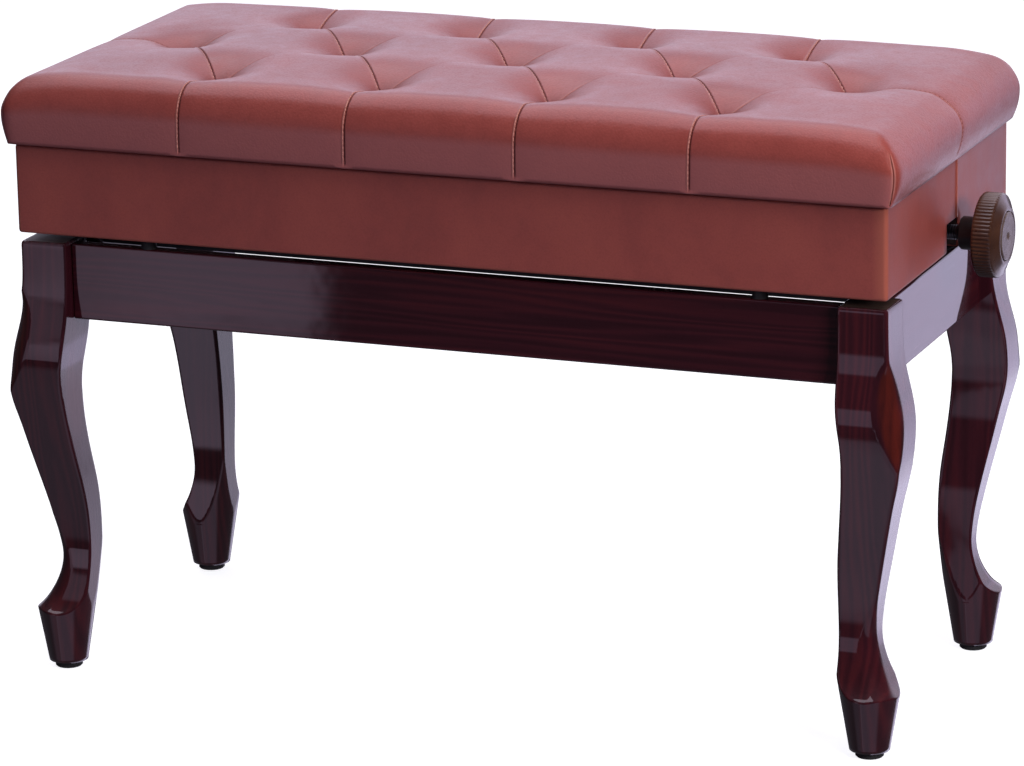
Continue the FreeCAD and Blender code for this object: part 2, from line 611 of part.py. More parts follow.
# ---------------------------------------------------------------- screw, bearing and knob
sr, tr = D["shaft_radius"], D["thread_radius"]
screw = turned_body("screw", "XY_Plane", "H_Axis",
                    [(0, 0), (D["shaft_end"] - D["thread_start"], 0), (D["shaft_end"] - D["thread_start"], sr),
                     (D["thread_end"] - D["thread_start"], sr), (D["thread_end"] - D["thread_start"], tr),
                     (2, tr), (0, tr - 2)])
place(screw, D["thread_start"], D["screw_y"], D["screw_z"])
node("lead_screw", screw)

pl, pt = D["plate_x"], D["plate_thick"]
bracket2 = pad_body("bearing_plate", "XZ_Plane",
                    [(0, D["plate_low"]), (pt, D["plate_low"]), (pt, D["floor_bottom"]),
                     (-D["flange_long"], D["floor_bottom"]), (-D["flange_long"], D["floor_bottom"] - D["flange_thick"]),
                     (0, D["floor_bottom"] - D["flange_thick"])], D["plate_half"] * 2)
place(bracket2, pl, D["screw_y"] + D["plate_half"], 0)
BY = (D["screw_y"] - 16, D["screw_y"] + 16)
bear_x = pl - D["flange_long"] / 2
bear_bores = [cyl("bearing_hole_%d" % k, "z", hole_r, bear_x, y, D["floor_bottom"] - D["flange_thick"] - 1,
                  D["flange_thick"] + 8.2) for k, y in enumerate(BY)]
node("bearing_bracket", cut("bearing_made", bracket2,
                            [cyl("bearing_seat", "x", D["bush_radius"] + D["fit"], pl - 1, D["screw_y"], D["screw_z"],
                                 pt + 2)] + bear_bores))
bush = turned_body("bush", "XY_Plane", "H_Axis",
                   [(-1.6, sr + D["fit"]), (pt + 0.6, sr + D["fit"]), (pt + 0.6, D["bush_radius"]),
                    (-0.02, D["bush_radius"]), (-0.02, D["bush_flange"]), (-1.6, D["bush_flange"])])
place(bush, pl, D["screw_y"], D["screw_z"])
node("bearing_bush", bush)
node("bearing_screws", group("bearing_screw_pair",
                             [pan_screw("bearing_screw_%d" % k, "z", bear_x, y, D["floor_bottom"] - D["flange_thick"],
                                        D["flange_thick"] + 7, "-z") for k, y in enumerate(BY)]))


def collar(name, x0):
    return cut(name, cyl(name + "_ring", "x", D["collar_radius"], x0, D["screw_y"], D["screw_z"], D["collar_wide"]),
               [cyl(name + "_bore", "x", sr, x0 - 1, D["screw_y"], D["screw_z"], D["collar_wide"] + 2)])


node("thrust_collars", group("collars", [collar("collar_in", pl - 2.2 - D["collar_wide"]),
                                         collar("collar_out", pl + pt + 1.2)]))

hub_long = D["knob_back"] - D["hub_start"]
hub = turned_body("hub", "XY_Plane", "H_Axis",
                  [(0, sr), (hub_long, sr), (hub_long, D["hub_radius"]), (1.2, D["hub_radius"]),
                   (0, D["hub_radius"] - 1.2)])
place(hub, D["hub_start"], D["screw_y"], D["screw_z"])
grub_x = D["hub_start"] + hub_long / 2
node("knob_hub", cut("hub_made", hub, [cyl("hub_grub_hole", "-z", 2.5, grub_x, D["screw_y"], D["screw_z"], 20)]))
node("hub_grub_screw", cyl("grub", "-z", 2.5, grub_x, D["screw_y"], D["screw_z"] - sr, D["hub_radius"] - sr - 1))

knob = turned_body("knob", "XY_Plane", "H_Axis",
                   [(0, sr), (D["shaft_end"] - D["knob_back"], sr), (D["shaft_end"] - D["knob_back"], 0),
                    (D["knob_thick"] - 2, 0), (D["knob_thick"] - 2, D["cap_radius"] + 0.05),
                    (D["knob_thick"] - 0.6, D["cap_radius"] + 0.05),
                    (D["knob_thick"], D["cap_radius"] + 1.5), (D["knob_thick"], D["knob_face"] - 1.5),
                    (D["knob_thick"] - 1, D["knob_face"]), (D["knob_rim"], D["knob_radius"] - 2),
                    (D["knob_rim"] - 2, D["knob_radius"]), (1.5, D["knob_radius"]), (0, D["knob_radius"] - 1.5)])
flute = knob.newObject("Sketcher::SketchObject", "flute_outline")
flute.AttachmentSupport = [(origin_plane(knob, "YZ_Plane"), "")]
flute.MapMode = "FlatFace"
flute.addGeometry(Part.Circle(V(0, D["knob_radius"].v + 0.4, 0), V(0, 0, 1), D["flute_radius"].v), False)
c = flute.addConstraint(Sketcher.Constraint("Radius", 0, D["flute_radius"].v))
flute.setExpression("Constraints[%d]" % c, D["flute_radius"].e)
flute.addConstraint(Sketcher.Constraint("PointOnObject", 0, 3, -2))
c = flute.addConstraint(Sketcher.Constraint("DistanceY", -1, 1, 0, 3, D["knob_radius"].v + 0.4))
flute.setExpression("Constraints[%d]" % c, (D["knob_radius"] + 0.4).e)
doc.recompute()
plain_volume = knob.Shape.Volume
groove = knob.newObject("PartDesign::Pocket", "flute")
groove.Profile = flute
groove.Midplane = True
groove.Type = 0
bind(groove, "Length", D["knob_thick"] * 3)
ring = knob.newObject("PartDesign::PolarPattern", "flutes")
ring.Originals = [groove]
ring.Axis = (origin_plane(knob, "X_Axis"), [""])
ring.Angle = 360.0
bind(ring, "Occurrences", D["flute_count"])
knob.Tip = ring
place(knob, D["knob_back"], D["screw_y"], D["screw_z"])
node("hand_knob", knob)
cap = turned_body("cap", "XY_Plane", "H_Axis",
                  [(0, 0), (D["cap_thick"], 0), (D["cap_thick"] - 0.4, D["cap_radius"] * 0.6),
                   (D["cap_thick"] - 1.4, D["cap_radius"]), (0, D["cap_radius"])])
place(cap, D["knob_back"] + D["knob_thick"] - 2, D["screw_y"], D["screw_z"])
node("knob_cap", cap)

# ---------------------------------------------------------------- storage box
wt, wl = D["wrap_thick"], D["wall_thick"]
ox, oy = D["box_length"] / 2 - wt, D["box_depth"] / 2 - wt
nx, ny = ox - wl, oy - wl
z0, z1 = D["box_bottom"] + wt, D["box_top"] - wt
front_wall = box("front_wall", -ox, ox, -oy, -ny, z0, z1)
back_wall = box("back_wall", -ox, ox, ny, oy, z0, z1)
left_wall = box("left_wall", -ox, -nx, -ny, ny, z0, z1)
right_wall = box("right_wall", nx, ox, -ny, ny, z0, z1)
notch = box("notch", nx - 2, ox + wt + 2, -D["notch_front"], D["notch_back"], D["box_bottom"] - 1, D["notch_top"])
CZ = (D["box_bottom"] + 18, D["box_top"] - 18)
cx = ox - wl / 2
corner_bores, corner_bits = [], []
for k, z in enumerate(CZ):
    corner_bores.append(cyl("wall_bore_%d" % k, "y", 2.05, cx, -oy - 1, z, 46))
    corner_bores.append(cyl("wall_sink_%d" % k, "y", 4.55, cx, -oy - 1, z, 4.05))
    corner_bits.append(fuse("wall_screw_%d" % k, [cyl("wall_shank_%d" % k, "y", 2.0, cx, -oy, z, 44),
                                                  cyl("wall_head_%d" % k, "y", 4.5, cx, -oy, z, 3)]))
wall_bores = four("wall_bores", group("wall_bore_set", corner_bores))
node("box_corner_screws", four("wall_screws", group("wall_screw_set", corner_bits)))

floor = box("floor_board", 0.2 - nx, nx - 0.2, 0.2 - ny, ny - 0.2, D["floor_bottom"], D["floor_bottom"] + D["floor_thick"])
bores_m = mirror("rail_bores_m", group("rail_bores", rail_bores), (0, 1, 0))
node("storage_floor", cut("floor_made", floor, rail_bores + [bores_m] + bear_bores))
cleat = box("cleat", 0.2 - nx, nx - 0.2, -ny, D["cleat_wide"] - ny, D["floor_bottom"] - D["cleat_high"], D["floor_bottom"])
node("floor_cleats", group("cleats", [cleat, mirror("cleat_m", cleat, (0, 1, 0))]))

# ---------------------------------------------------------------- hinges at the back of the lid
hx, hh, hy, hz = D["hinge_x"], D["hinge_half"], D["hinge_y"], D["hinge_z"]
kr, kh, lt = D["knuckle_radius"], D["knuckle_half"], D["leaf_thick"]
LEAF_X = (-20.0, 0.0, 20.0)
leaf_screw_y = D["leaf_front"] + 7
box_leaf = fuse("box_leaf_blank",
                [box("box_leaf_plate", hx - hh, hx + hh, D["leaf_front"], hy - kr - 0.6, D["box_top"], D["box_top"] + lt),
                 box("box_leaf_ear_a", hx - hh, hx - kh - 0.2, D["leaf_front"] + 10, hy, D["box_top"], D["box_top"] + lt),
                 box("box_leaf_ear_b", hx + kh + 0.2, hx + hh, D["leaf_front"] + 10, hy, D["box_top"], D["box_top"] + lt),
                 cyl("box_knuckle_a", "x", kr, hx - hh, hy, hz, hh - kh - 0.2),
                 cyl("box_knuckle_b", "x", kr, hx + kh + 0.2, hy, hz, hh - kh - 0.2)])
lid_leaf_low = D["lid_bottom"] - lt
lid_leaf = fuse("lid_leaf_blank",
                [box("lid_leaf_plate", hx - hh, hx + hh, D["leaf_front"], hy - kr - 0.6, lid_leaf_low, D["lid_bottom"]),
                 box("lid_leaf_ear", hx - kh, hx + kh, D["leaf_front"] + 10, hy, lid_leaf_low, D["lid_bottom"]),
                 cyl("lid_knuckle", "x", kr, hx - kh, hy, hz, kh * 2)])
bore = cyl("knuckle_bore", "x", D["hinge_pin_radius"] + D["fit"], hx - hh - 1, hy, hz, hh * 2 + 2)
box_holes, lid_holes, box_bits, lid_bits = [], [], [], []
for k, dx in enumerate(LEAF_X):
    x = hx + dx
    box_holes += [cyl("box_leaf_hole_%d" % k, "-z", 1.45, x, leaf_screw_y, D["box_top"] + 2, 16.5),
                  cone("box_leaf_sink_%d" % k, "z", 1.45, 2.85, x, leaf_screw_y, D["box_top"], lt + 0.001)]
    lid_holes += [cyl("lid_leaf_hole_%d" % k, "z", 1.45, x, leaf_screw_y, D["lid_bottom"] - 2, 13.5),
                  cone("lid_leaf_sink_%d" % k, "-z", 1.45, 2.85, x, leaf_screw_y, D["lid_bottom"], lt + 0.001)]
    box_bits.append(fuse("box_leaf_screw_%d" % k, [cyl("bls_%d" % k, "-z", 1.4, x, leaf_screw_y, D["box_top"] + lt, 15),
                                                   cone("blh_%d" % k, "z", 1.4, 2.8, x, leaf_screw_y, D["box_top"], lt)]))
    lid_bits.append(fuse("lid_leaf_screw_%d" % k, [cyl("lls_%d" % k, "z", 1.4, x, leaf_screw_y, lid_leaf_low, 12),
                                                   cone("llh_%d" % k, "-z", 1.4, 2.8, x, leaf_screw_y, D["lid_bottom"], lt)]))


def both(name, source):
    return group(name, [source, mirror(name + "_m", source, (1, 0, 0))])


box_hole_pair = both("box_hole_pair", group("box_hole_set", box_holes))
lid_hole_pair = both("lid_hole_pair", group("lid_hole_set", lid_holes))
node("hinge_leaves_box", both("box_leaves", cut("box_leaf", box_leaf, [bore] + box_holes)))
node("hinge_leaves_lid", both("lid_leaves", cut("lid_leaf", lid_leaf, [bore] + lid_holes)))
node("hinge_pins", both("pins", cyl("hinge_pin", "x", D["hinge_pin_radius"], hx - hh, hy, hz, hh * 2)))
node("hinge_screws_box", both("box_leaf_screws", group("box_leaf_screw_set", box_bits)))
node("hinge_screws_lid", both("lid_leaf_screws", group("lid_leaf_screw_set", lid_bits)))

node("box_front", cut("box_front_made", front_wall, [wall_bores]))
node("box_back", cut("box_back_made", back_wall, [wall_bores, box_hole_pair]))
node("box_left", cut("box_left_made", left_wall, [wall_bores]))
node("box_right", cut("box_right_made", right_wall, [wall_bores, notch]))

# Leather wrap: over the outside of the walls and folded round their top and bottom edges.
skin = doc.addObject("Part::Box", "wrap_block")
bind(skin, "Length", D["box_length"])
bind(skin, "Width", D["box_depth"])
bind(skin, "Height", D["box_top"] - D["box_bottom"])
place(skin, -(D["box_length"] / 2), -(D["box_depth"] / 2), D["box_bottom"])
doc.recompute()
upright = [k + 1 for k, e in enumerate(skin.Shape.Edges)
           if abs(e.Vertexes[0].Z - e.Vertexes[1].Z) > 1.0]
soft = doc.addObject("Part::Fillet", "wrap_rounded")
soft.Base = skin
soft.Edges = [(k, D["wrap_round"].v, D["wrap_round"].v) for k in upright]
core = box("wrap_core", -ox, ox, -oy, oy, z0, z1)
well = box("wrap_well", -nx, nx, -ny, ny, D["box_bottom"] - 1, D["box_top"] + 1)
node("box_wrap", cut("wrap_made", soft, [core, well, notch, box_hole_pair]))

pad = cyl("lid_pad", "z", D["pad_radius"], D["box_length"] / 2 - 22, -(D["box_depth"] / 2 - 8), D["box_top"], D["pad_thick"])
node("lid_pads", four("lid_pad_set", pad))

# ---------------------------------------------------------------- padded lid
bl, bd = D["board_length"] / 2, D["board_depth"] / 2
b0 = D["lid_bottom"] + D["skin_thick"]
b1 = b0 + D["board_thick"]


def cushion(name, half_x, half_y, low, top, corner, shoulder, tuck):
    """Block with rounded upright edges; a padded one has a wide shoulder and a small tuck below."""
    body = pad_body(name, "XY_Plane", [(-half_x, -half_y), (half_x, -half_y), (half_x, half_y), (-half_x, half_y)],
                    Q.of(top) - low)
    place(body, 0, 0, low)
    doc.recompute()

    def rounding(tag, pick, radius):
        base = body.Tip
        found = ["Edge%d" % (k + 1) for k, e in enumerate(base.Shape.Edges) if pick(e)]
        f = body.newObject("PartDesign::Fillet", name + tag)
        f.Base = (base, found)
        bind(f, "Radius", radius)
        body.Tip = f
        doc.recompute()

    tall = (Q.of(top) - low).v
    rounding("_corner", lambda e: abs(e.Vertexes[0].Point.z - e.Vertexes[-1].Point.z) > tall * 0.9, corner)
    if shoulder is not None:
        rounding("_shoulder", lambda e: all(abs(v.Point.z - tall) < 1e-6 for v in e.Vertexes), shoulder)
    if tuck is not None:
        rounding("_tuck", lambda e: all(abs(v.Point.z) < 1e-6 for v in e.Vertexes), tuck)
    return body


sk_t = D["skin_thick"]
board = cushion("lid_plank", bl, bd, b0, b1, D["cover_round"] + 8 - D["cover_tuck"], None, None)
node("lid_board", cut("lid_board_made", board, [lid_hole_pair]))
outer = cushion("cover_outer", D["cover_length"] / 2, D["cover_depth"] / 2, D["lid_bottom"], D["cover_top"],
                D["cover_round"] + 8, D["cover_shoulder"], D["cover_tuck"])
inner = cushion("foam_block", D["cover_length"] / 2 - sk_t, D["cover_depth"] / 2 - sk_t, b1, D["cover_top"] - sk_t,
                D["cover_round"] + 8 - sk_t, D["cover_shoulder"] - sk_t, None)
node("seat_foam", inner)
under = box("cover_window", D["hem_wide"] - bl, bl - D["hem_wide"], D["hem_wide"] - bd, bd - D["hem_wide"],
            D["lid_bottom"] - 1, b0 + 1)
relief = both("hinge_relief", box("hinge_relief_one", hx - hh - 1, hx + hh + 1, hy - kr - 1.2, hy + 12,
                                  D["lid_bottom"] - 2, D["lid_bottom"] + 1.15))
node("seat_cover", cut("cover_made", outer, [inner, board, under, relief, lid_hole_pair]))
node("dust_cover", box("dust_cloth", D["hem_wide"] + 0.5 - bl, bl - D["hem_wide"] - 0.5, D["hem_wide"] + 0.5 - bd,
                       bd - D["hem_wide"] - 0.5, b0 - 0.7, b0))

# ---------------------------------------------------------------- checks and files
doc.recompute()
if knob.Shape.Volume >= plain_volume - 1.0:
    raise RuntimeError("the knob's flutes cut nothing")
if abs(math.degrees(math.asin(D["arm_rise"].v / D["arm_len"].v)) - D["arm_angle"].v) > 1e-4:
    raise RuntimeError("arm angle and rise disagree")
bad = [o.Name for o in doc.Objects if "Invalid" in o.State or "Error" in o.State]
for label, obj in NODES.items():
    shape = obj.Shape
    if shape.isNull() or not shape.isValid() or not shape.Solids:
        bad.append(label)
if bad:
    raise RuntimeError("failed: %s" % bad)
labels = [o.Label for o in doc.Objects]
for label in NODES:
    if labels.count(label) != 1:
        raise RuntimeError("label used twice: " + label)
os.makedirs("parts", exist_ok=True)
for label, obj in NODES.items():
    obj.Shape.exportStep("parts/%s.step" % label)
    b = obj.Shape.BoundBox
    print("%-20s %2d solids %10.1f mm3  x %.1f..%.1f y %.1f..%.1f z %.1f..%.1f" % (
        label, len(obj.Shape.Solids), obj.Shape.Volume, b.XMin, b.XMax, b.YMin, b.YMax, b.ZMin, b.ZMax))
print(len(NODES), "nodes")
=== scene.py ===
import json
import math

import bmesh
import bpy
import numpy as np
from mathutils import Matrix, Vector

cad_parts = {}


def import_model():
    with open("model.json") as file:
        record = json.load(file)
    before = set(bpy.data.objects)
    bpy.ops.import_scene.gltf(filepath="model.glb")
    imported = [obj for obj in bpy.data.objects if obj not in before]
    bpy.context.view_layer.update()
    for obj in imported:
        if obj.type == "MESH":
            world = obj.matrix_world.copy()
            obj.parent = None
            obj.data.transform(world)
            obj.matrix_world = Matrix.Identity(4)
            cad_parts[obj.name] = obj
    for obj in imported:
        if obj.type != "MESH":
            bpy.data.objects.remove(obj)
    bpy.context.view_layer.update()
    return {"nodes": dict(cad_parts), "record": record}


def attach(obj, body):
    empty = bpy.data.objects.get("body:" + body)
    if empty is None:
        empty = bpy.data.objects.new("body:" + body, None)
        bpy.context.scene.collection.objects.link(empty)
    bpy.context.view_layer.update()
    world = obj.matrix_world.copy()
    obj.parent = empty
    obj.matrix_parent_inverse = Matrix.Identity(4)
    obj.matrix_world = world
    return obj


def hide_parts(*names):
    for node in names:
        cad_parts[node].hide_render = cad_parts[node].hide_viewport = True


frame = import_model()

nodes = frame["nodes"]
scene = bpy.context.scene
MM = 0.001
rng = np.random.default_rng(7)


# ------------------------------------------------------------------ shader helpers
class Look:
    """One procedural material: a Principled shader fed by textures in the part's own frame."""

    def __init__(self, name):
        self.mat = bpy.data.materials.new(name)
        self.mat.use_nodes = True
        self.tree = self.mat.node_tree
        self.shader = self.tree.nodes["Principled BSDF"]
        self.coords = self.tree.nodes.new("ShaderNodeTexCoord")

    def link(self, a, b):
        self.tree.links.new(a, b)

    def set(self, **values):
        for key, value in values.items():
            socket = self.shader.inputs[key.replace("_", " ")]
            socket.default_value = (*value, 1.0) if isinstance(value, tuple) and len(value) == 3 and socket.type == "RGBA" else value
        return self

    def place(self, scale=(1, 1, 1), turn=(0, 0, 0)):
        m = self.tree.nodes.new("ShaderNodeMapping")
        m.inputs["Scale"].default_value = scale
        m.inputs["Rotation"].default_value = turn
        self.link(self.coords.outputs["Object"], m.inputs["Vector"])
        return m.outputs["Vector"]

    def noise(self, scale, detail=4.0, rough=0.55, bend=0.0, where=None):
        n = self.tree.nodes.new("ShaderNodeTexNoise")
        n.inputs["Scale"].default_value = scale
        n.inputs["Detail"].default_value = detail
        n.inputs["Roughness"].default_value = rough
        n.inputs["Distortion"].default_value = bend
        self.link(where or self.coords.outputs["Object"], n.inputs["Vector"])
        return n.outputs["Fac"]

    def cells(self, scale, feature="F1", random=1.0, where=None, output="Distance"):
        n = self.tree.nodes.new("ShaderNodeTexVoronoi")
        n.feature = feature
        n.inputs["Scale"].default_value = scale
        n.inputs["Randomness"].default_value = random
        self.link(where or self.coords.outputs["Object"], n.inputs["Vector"])
        return n.outputs[output]

    def wave(self, scale, axis="X", bend=0.0, where=None, profile="SIN"):
        n = self.tree.nodes.new("ShaderNodeTexWave")
        n.wave_type = "BANDS"
        n.bands_direction = axis
        n.wave_profile = profile
        n.inputs["Scale"].default_value = scale
        n.inputs["Distortion"].default_value = bend
        self.link(where or self.coords.outputs["Object"], n.inputs["Vector"])
        return n.outputs["Fac"]

    def attribute(self, name):
        n = self.tree.nodes.new("ShaderNodeAttribute")
        n.attribute_name = name
        return n.outputs["Fac"]

    def span(self, value, low, high, to_low=0.0, to_high=1.0, smooth=False):
        n = self.tree.nodes.new("ShaderNodeMapRange")
        n.interpolation_type = "SMOOTHSTEP" if smooth else "LINEAR"
        self.link(value, n.inputs["Value"])
        for key, v in (("From Min", low), ("From Max", high), ("To Min", to_low), ("To Max", to_high)):
            n.inputs[key].default_value = v
        return n.outputs["Result"]

    def math(self, kind, a, b):
        n = self.tree.nodes.new("ShaderNodeMath")
        n.operation = kind
        for k, v in enumerate((a, b)):
            if isinstance(v, (int, float)):
                n.inputs[k].default_value = v
            else:
                self.link(v, n.inputs[k])
        return n.outputs["Value"]

    def ramp(self, value, stops):
        n = self.tree.nodes.new("ShaderNodeValToRGB")
        r = n.color_ramp
        while len(r.elements) < len(stops):
            r.elements.new(0.5)
        for e, (at, colour) in zip(r.elements, stops):
            e.position = at
            e.color = (*colour, 1.0)
        self.link(value, n.inputs["Fac"])
        return n.outputs["Color"]

    def mix(self, share, a, b, kind="MIX"):
        n = self.tree.nodes.new("ShaderNodeMix")
        n.data_type = "RGBA"
        n.blend_type = kind
        if isinstance(share, (int, float)):
            n.inputs["Factor"].default_value = share
        else:
            self.link(share, n.inputs["Factor"])
        for key, v in (("A", a), ("B", b)):
            s = next(i for i in n.inputs if i.name == key and i.type == "RGBA")
            if isinstance(v, tuple):
                s.default_value = (*v, 1.0)
            else:
                self.link(v, s)
        return next(o for o in n.outputs if o.type == "RGBA")

    def bump(self, height, depth, strength=1.0, under=None):
        n = self.tree.nodes.new("ShaderNodeBump")
        n.inputs["Strength"].default_value = strength
        n.inputs["Distance"].default_value = depth
        self.link(height, n.inputs["Height"])
        if under is not None:
            self.link(under, n.inputs["Normal"])
        return n.outputs["Normal"]

    def done(self, colour=None, rough=None, normal=None, coat_normal=None, metal=None):
        for value, key in ((colour, "Base Color"), (rough, "Roughness"), (normal, "Normal"),
                           (coat_normal, "Coat Normal"), (metal, "Metallic")):
            if value is not None:
                self.link(value, self.shader.inputs[key])
        return self.mat


def seat_leather():
    k = Look("seat_leather_grain")
    k.set(Specular_IOR_Level=0.5, IOR=1.5, Specular_Tint=(1.0, 0.9, 0.92, 1.0))
    cloud = k.noise(11.0, 3.0, 0.5)
    mottle = k.noise(85.0, 4.0, 0.6)
    colour = k.ramp(k.math("ADD", k.math("MULTIPLY", cloud, 0.6), k.math("MULTIPLY", mottle, 0.4)),
                    [(0.3, (0.195, 0.037, 0.031)), (0.5, (0.228, 0.046, 0.038)), (0.72, (0.262, 0.055, 0.045))])
    pebble = k.cells(620.0, "SMOOTH_F1")
    fine = k.noise(1500.0, 3.0, 0.6)
    lines = k.noise(300.0, 3.0, 0.55, 0.6)
    pit = k.span(pebble, 0.25, 0.75)
    colour = k.mix(k.math("MULTIPLY", pit, 0.22), colour, (0.115, 0.017, 0.013))
    # Painted reflection: the lower part of the long borders is painted plum, standing in for the pale floor reflected
    # in them.
    colour = k.mix(k.math("MULTIPLY", k.attribute("border"), 0.75), colour, k.mix(0.5, colour, (0.3, 0.12, 0.13)))
    # Painted highlight: the seams' rolled edges are painted pale, standing in for light catching them.
    colour = k.mix(k.math("MULTIPLY", k.attribute("welt"), 0.6), colour, (0.46, 0.215, 0.185))
    # Painted shade: tuft pits, seam grooves and corner seams are painted near black, standing in for the shade inside
    # them; they are also made rougher.
    deep = k.attribute("deep")
    colour = k.mix(k.math("MULTIPLY", deep, 0.85), colour, (0.07, 0.008, 0.006))
    rough = k.span(k.math("ADD", mottle, k.math("MULTIPLY", pit, 0.3)), 0.3, 1.0, 0.28, 0.42)
    rough = k.math("ADD", rough, k.math("MULTIPLY", deep, 0.35))
    height = k.math("ADD", k.math("MULTIPLY", k.math("SUBTRACT", 1.0, pebble), 0.7),
                    k.math("ADD", k.math("MULTIPLY", fine, 0.25), k.math("MULTIPLY", lines, 0.35)))
    return k.done(colour, rough, k.bump(height, 0.00022, 0.8))


def box_leather(name, rough_low, rough_high, level):
    k = Look(name)
    k.set(Specular_IOR_Level=level, IOR=1.5)
    stretched = k.place((9.0, 9.0, 4.0))
    cloud = k.noise(1.4, 4.0, 0.6, 0.4, stretched)
    mottle = k.noise(60.0, 4.0, 0.6)
    colour = k.ramp(k.math("ADD", k.math("MULTIPLY", cloud, 0.7), k.math("MULTIPLY", mottle, 0.3)),
                    [(0.3, (0.2, 0.042, 0.036)), (0.5, (0.246, 0.053, 0.044)), (0.7, (0.282, 0.064, 0.051))])
    pebble = k.cells(800.0, "SMOOTH_F1")
    fine = k.noise(1700.0, 3.0, 0.6)
    pit = k.span(pebble, 0.25, 0.75)
    colour = k.mix(k.math("MULTIPLY", pit, 0.15), colour, (0.1, 0.015, 0.012))
    # Painted highlight: the wrap's rounded corners, rounded bottom edges and the end seam's step are painted light
    # orange, standing in for light catching them.
    colour = k.mix(k.math("MULTIPLY", k.attribute("edge"), 0.55), colour, (0.4, 0.12, 0.075))
    rough = k.span(k.math("ADD", mottle, k.math("MULTIPLY", cloud, 0.5)), 0.4, 1.1, rough_low, rough_high)
    height = k.math("ADD", k.math("MULTIPLY", k.math("SUBTRACT", 1.0, pebble), 0.6),
                    k.math("ADD", k.math("MULTIPLY", fine, 0.2), k.math("MULTIPLY", k.noise(22.0, 2.0), 3.0)))
    return k.done(colour, rough, k.bump(height, 0.00016, 0.5))


def thread_look():
    k = Look("sewing_thread")
    k.set(Specular_IOR_Level=0.35)
    twist = k.wave(900.0, "DIAGONAL", 1.5)
    colour = k.ramp(k.math("ADD", k.math("MULTIPLY", twist, 0.5), k.math("MULTIPLY", k.noise(300.0), 0.5)),
                    [(0.25, (0.34, 0.135, 0.11)), (0.75, (0.55, 0.27, 0.23))])
    return k.done(colour, k.span(twist, 0, 1, 0.5, 0.7), k.bump(twist, 0.00012, 0.6))


def lacquer(name, axis, turn=(0, 0, 0)):
    """Dark mahogany grain under a thick gloss lacquer; axis is the way the grain runs."""
    k = Look(name)
    k.set(Specular_IOR_Level=0.06, Coat_Weight=1.0, Coat_Roughness=0.03, Coat_IOR=1.5)
    along, across = 3.0, 30.0
    scale = {"X": (along, across, across), "Y": (across, along, across), "Z": (across, across, along)}[axis]
    bands = k.noise(1.0, 4.0, 0.55, 0.7, k.place(scale, turn))
    fine_scale = {"X": (14.0, 420.0, 420.0), "Y": (420.0, 14.0, 420.0), "Z": (420.0, 420.0, 14.0)}[axis]
    pores = k.noise(1.0, 3.0, 0.65, 0.2, k.place(fine_scale, turn))
    line_scale = {"X": (2.2, 12.0, 38.0), "Y": (12.0, 2.2, 38.0), "Z": (38.0, 12.0, 1.6)}[axis]
    lines = k.wave(1.0, "X" if axis == "Z" else "Z", 22.0, k.place(line_scale, turn))
    value = k.math("ADD", k.math("MULTIPLY", bands, 0.56),
                   k.math("ADD", k.math("MULTIPLY", pores, 0.22), k.math("MULTIPLY", lines, 0.22)))
    colour = k.ramp(value, [(0.3, (0.021, 0.0034, 0.0064)), (0.45, (0.029, 0.0046, 0.0086)),
                            (0.56, (0.038, 0.0056, 0.0098)), (0.72, (0.054, 0.0074, 0.011))])
    # Painted light: the mask from the legs turns the colour to a redder ramp on the knee corners and ankle tops,
    # standing in for the key light falling there.
    colour = k.mix(k.attribute("painted_light"), colour, k.ramp(value, [(0.3, (0.03, 0.0042, 0.004)), (0.7, (0.08, 0.0095, 0.006))]))
    rough = k.span(pores, 0.3, 0.7, 0.5, 0.34)
    skin = k.bump(k.noise(26.0, 2.0, 0.5), 0.0005, 0.09)
    return k.done(colour, rough, k.bump(pores, 0.00012, 0.4), skin)


def rubber():
    k = Look("moulded_rubber")
    k.set(Specular_IOR_Level=0.35)
    speck = k.noise(900.0, 3.0)
    colour = k.ramp(k.noise(90.0, 4.0), [(0.3, (0.012, 0.012, 0.013)), (0.7, (0.032, 0.032, 0.034))])
    return k.done(colour, k.span(speck, 0.3, 0.7, 0.55, 0.75), k.bump(speck, 0.0001, 0.4))


def painted_steel():
    k = Look("black_painted_steel")
    k.set(Specular_IOR_Level=0.5)
    orange = k.noise(420.0, 2.0)
    colour = k.ramp(k.noise(40.0, 5.0), [(0.3, (0.014, 0.014, 0.016)), (0.7, (0.03, 0.03, 0.033))])
    return k.done(colour, k.span(k.noise(120.0, 3.0), 0.3, 0.7, 0.3, 0.46), k.bump(orange, 0.0001, 0.35))


def plated_steel(name, low, high, rough_low, rough_high, across="X"):
    k = Look(name)
    k.set(Metallic=1.0)
    scale = {"X": (30.0, 900.0, 900.0), "Y": (900.0, 30.0, 900.0), "Z": (900.0, 900.0, 30.0)}[across]
    brushed = k.noise(1.0, 3.0, 0.6, 0.0, k.place(scale))
    stain = k.noise(70.0, 4.0, 0.6)
    colour = k.ramp(k.math("ADD", k.math("MULTIPLY", stain, 0.6), k.math("MULTIPLY", brushed, 0.4)),
                    [(0.3, low), (0.7, high)])
    return k.done(colour, k.span(brushed, 0.3, 0.7, rough_low, rough_high), k.bump(brushed, 0.00005, 0.3))


def screw_steel():
    """Dark turned steel; the thread's rounds are ridges along the shaft."""
    k = Look("dark_threaded_steel")
    k.set(Metallic=1.0)
    ridge = k.wave(159.2, "X")
    stain = k.noise(120.0, 4.0)
    colour = k.ramp(stain, [(0.3, (0.05, 0.05, 0.055)), (0.7, (0.14, 0.14, 0.15))])
    return k.done(colour, k.span(stain, 0.3, 0.7, 0.25, 0.4), k.bump(ridge, 0.0009, 0.6))


def bronze():
    k = Look("sintered_bronze")
    k.set(Metallic=1.0)
    speck = k.noise(700.0, 3.0)
    colour = k.ramp(speck, [(0.3, (0.33, 0.2, 0.08)), (0.7, (0.52, 0.34, 0.15))])
    return k.done(colour, k.span(speck, 0.3, 0.7, 0.3, 0.45), k.bump(speck, 0.00008, 0.4))


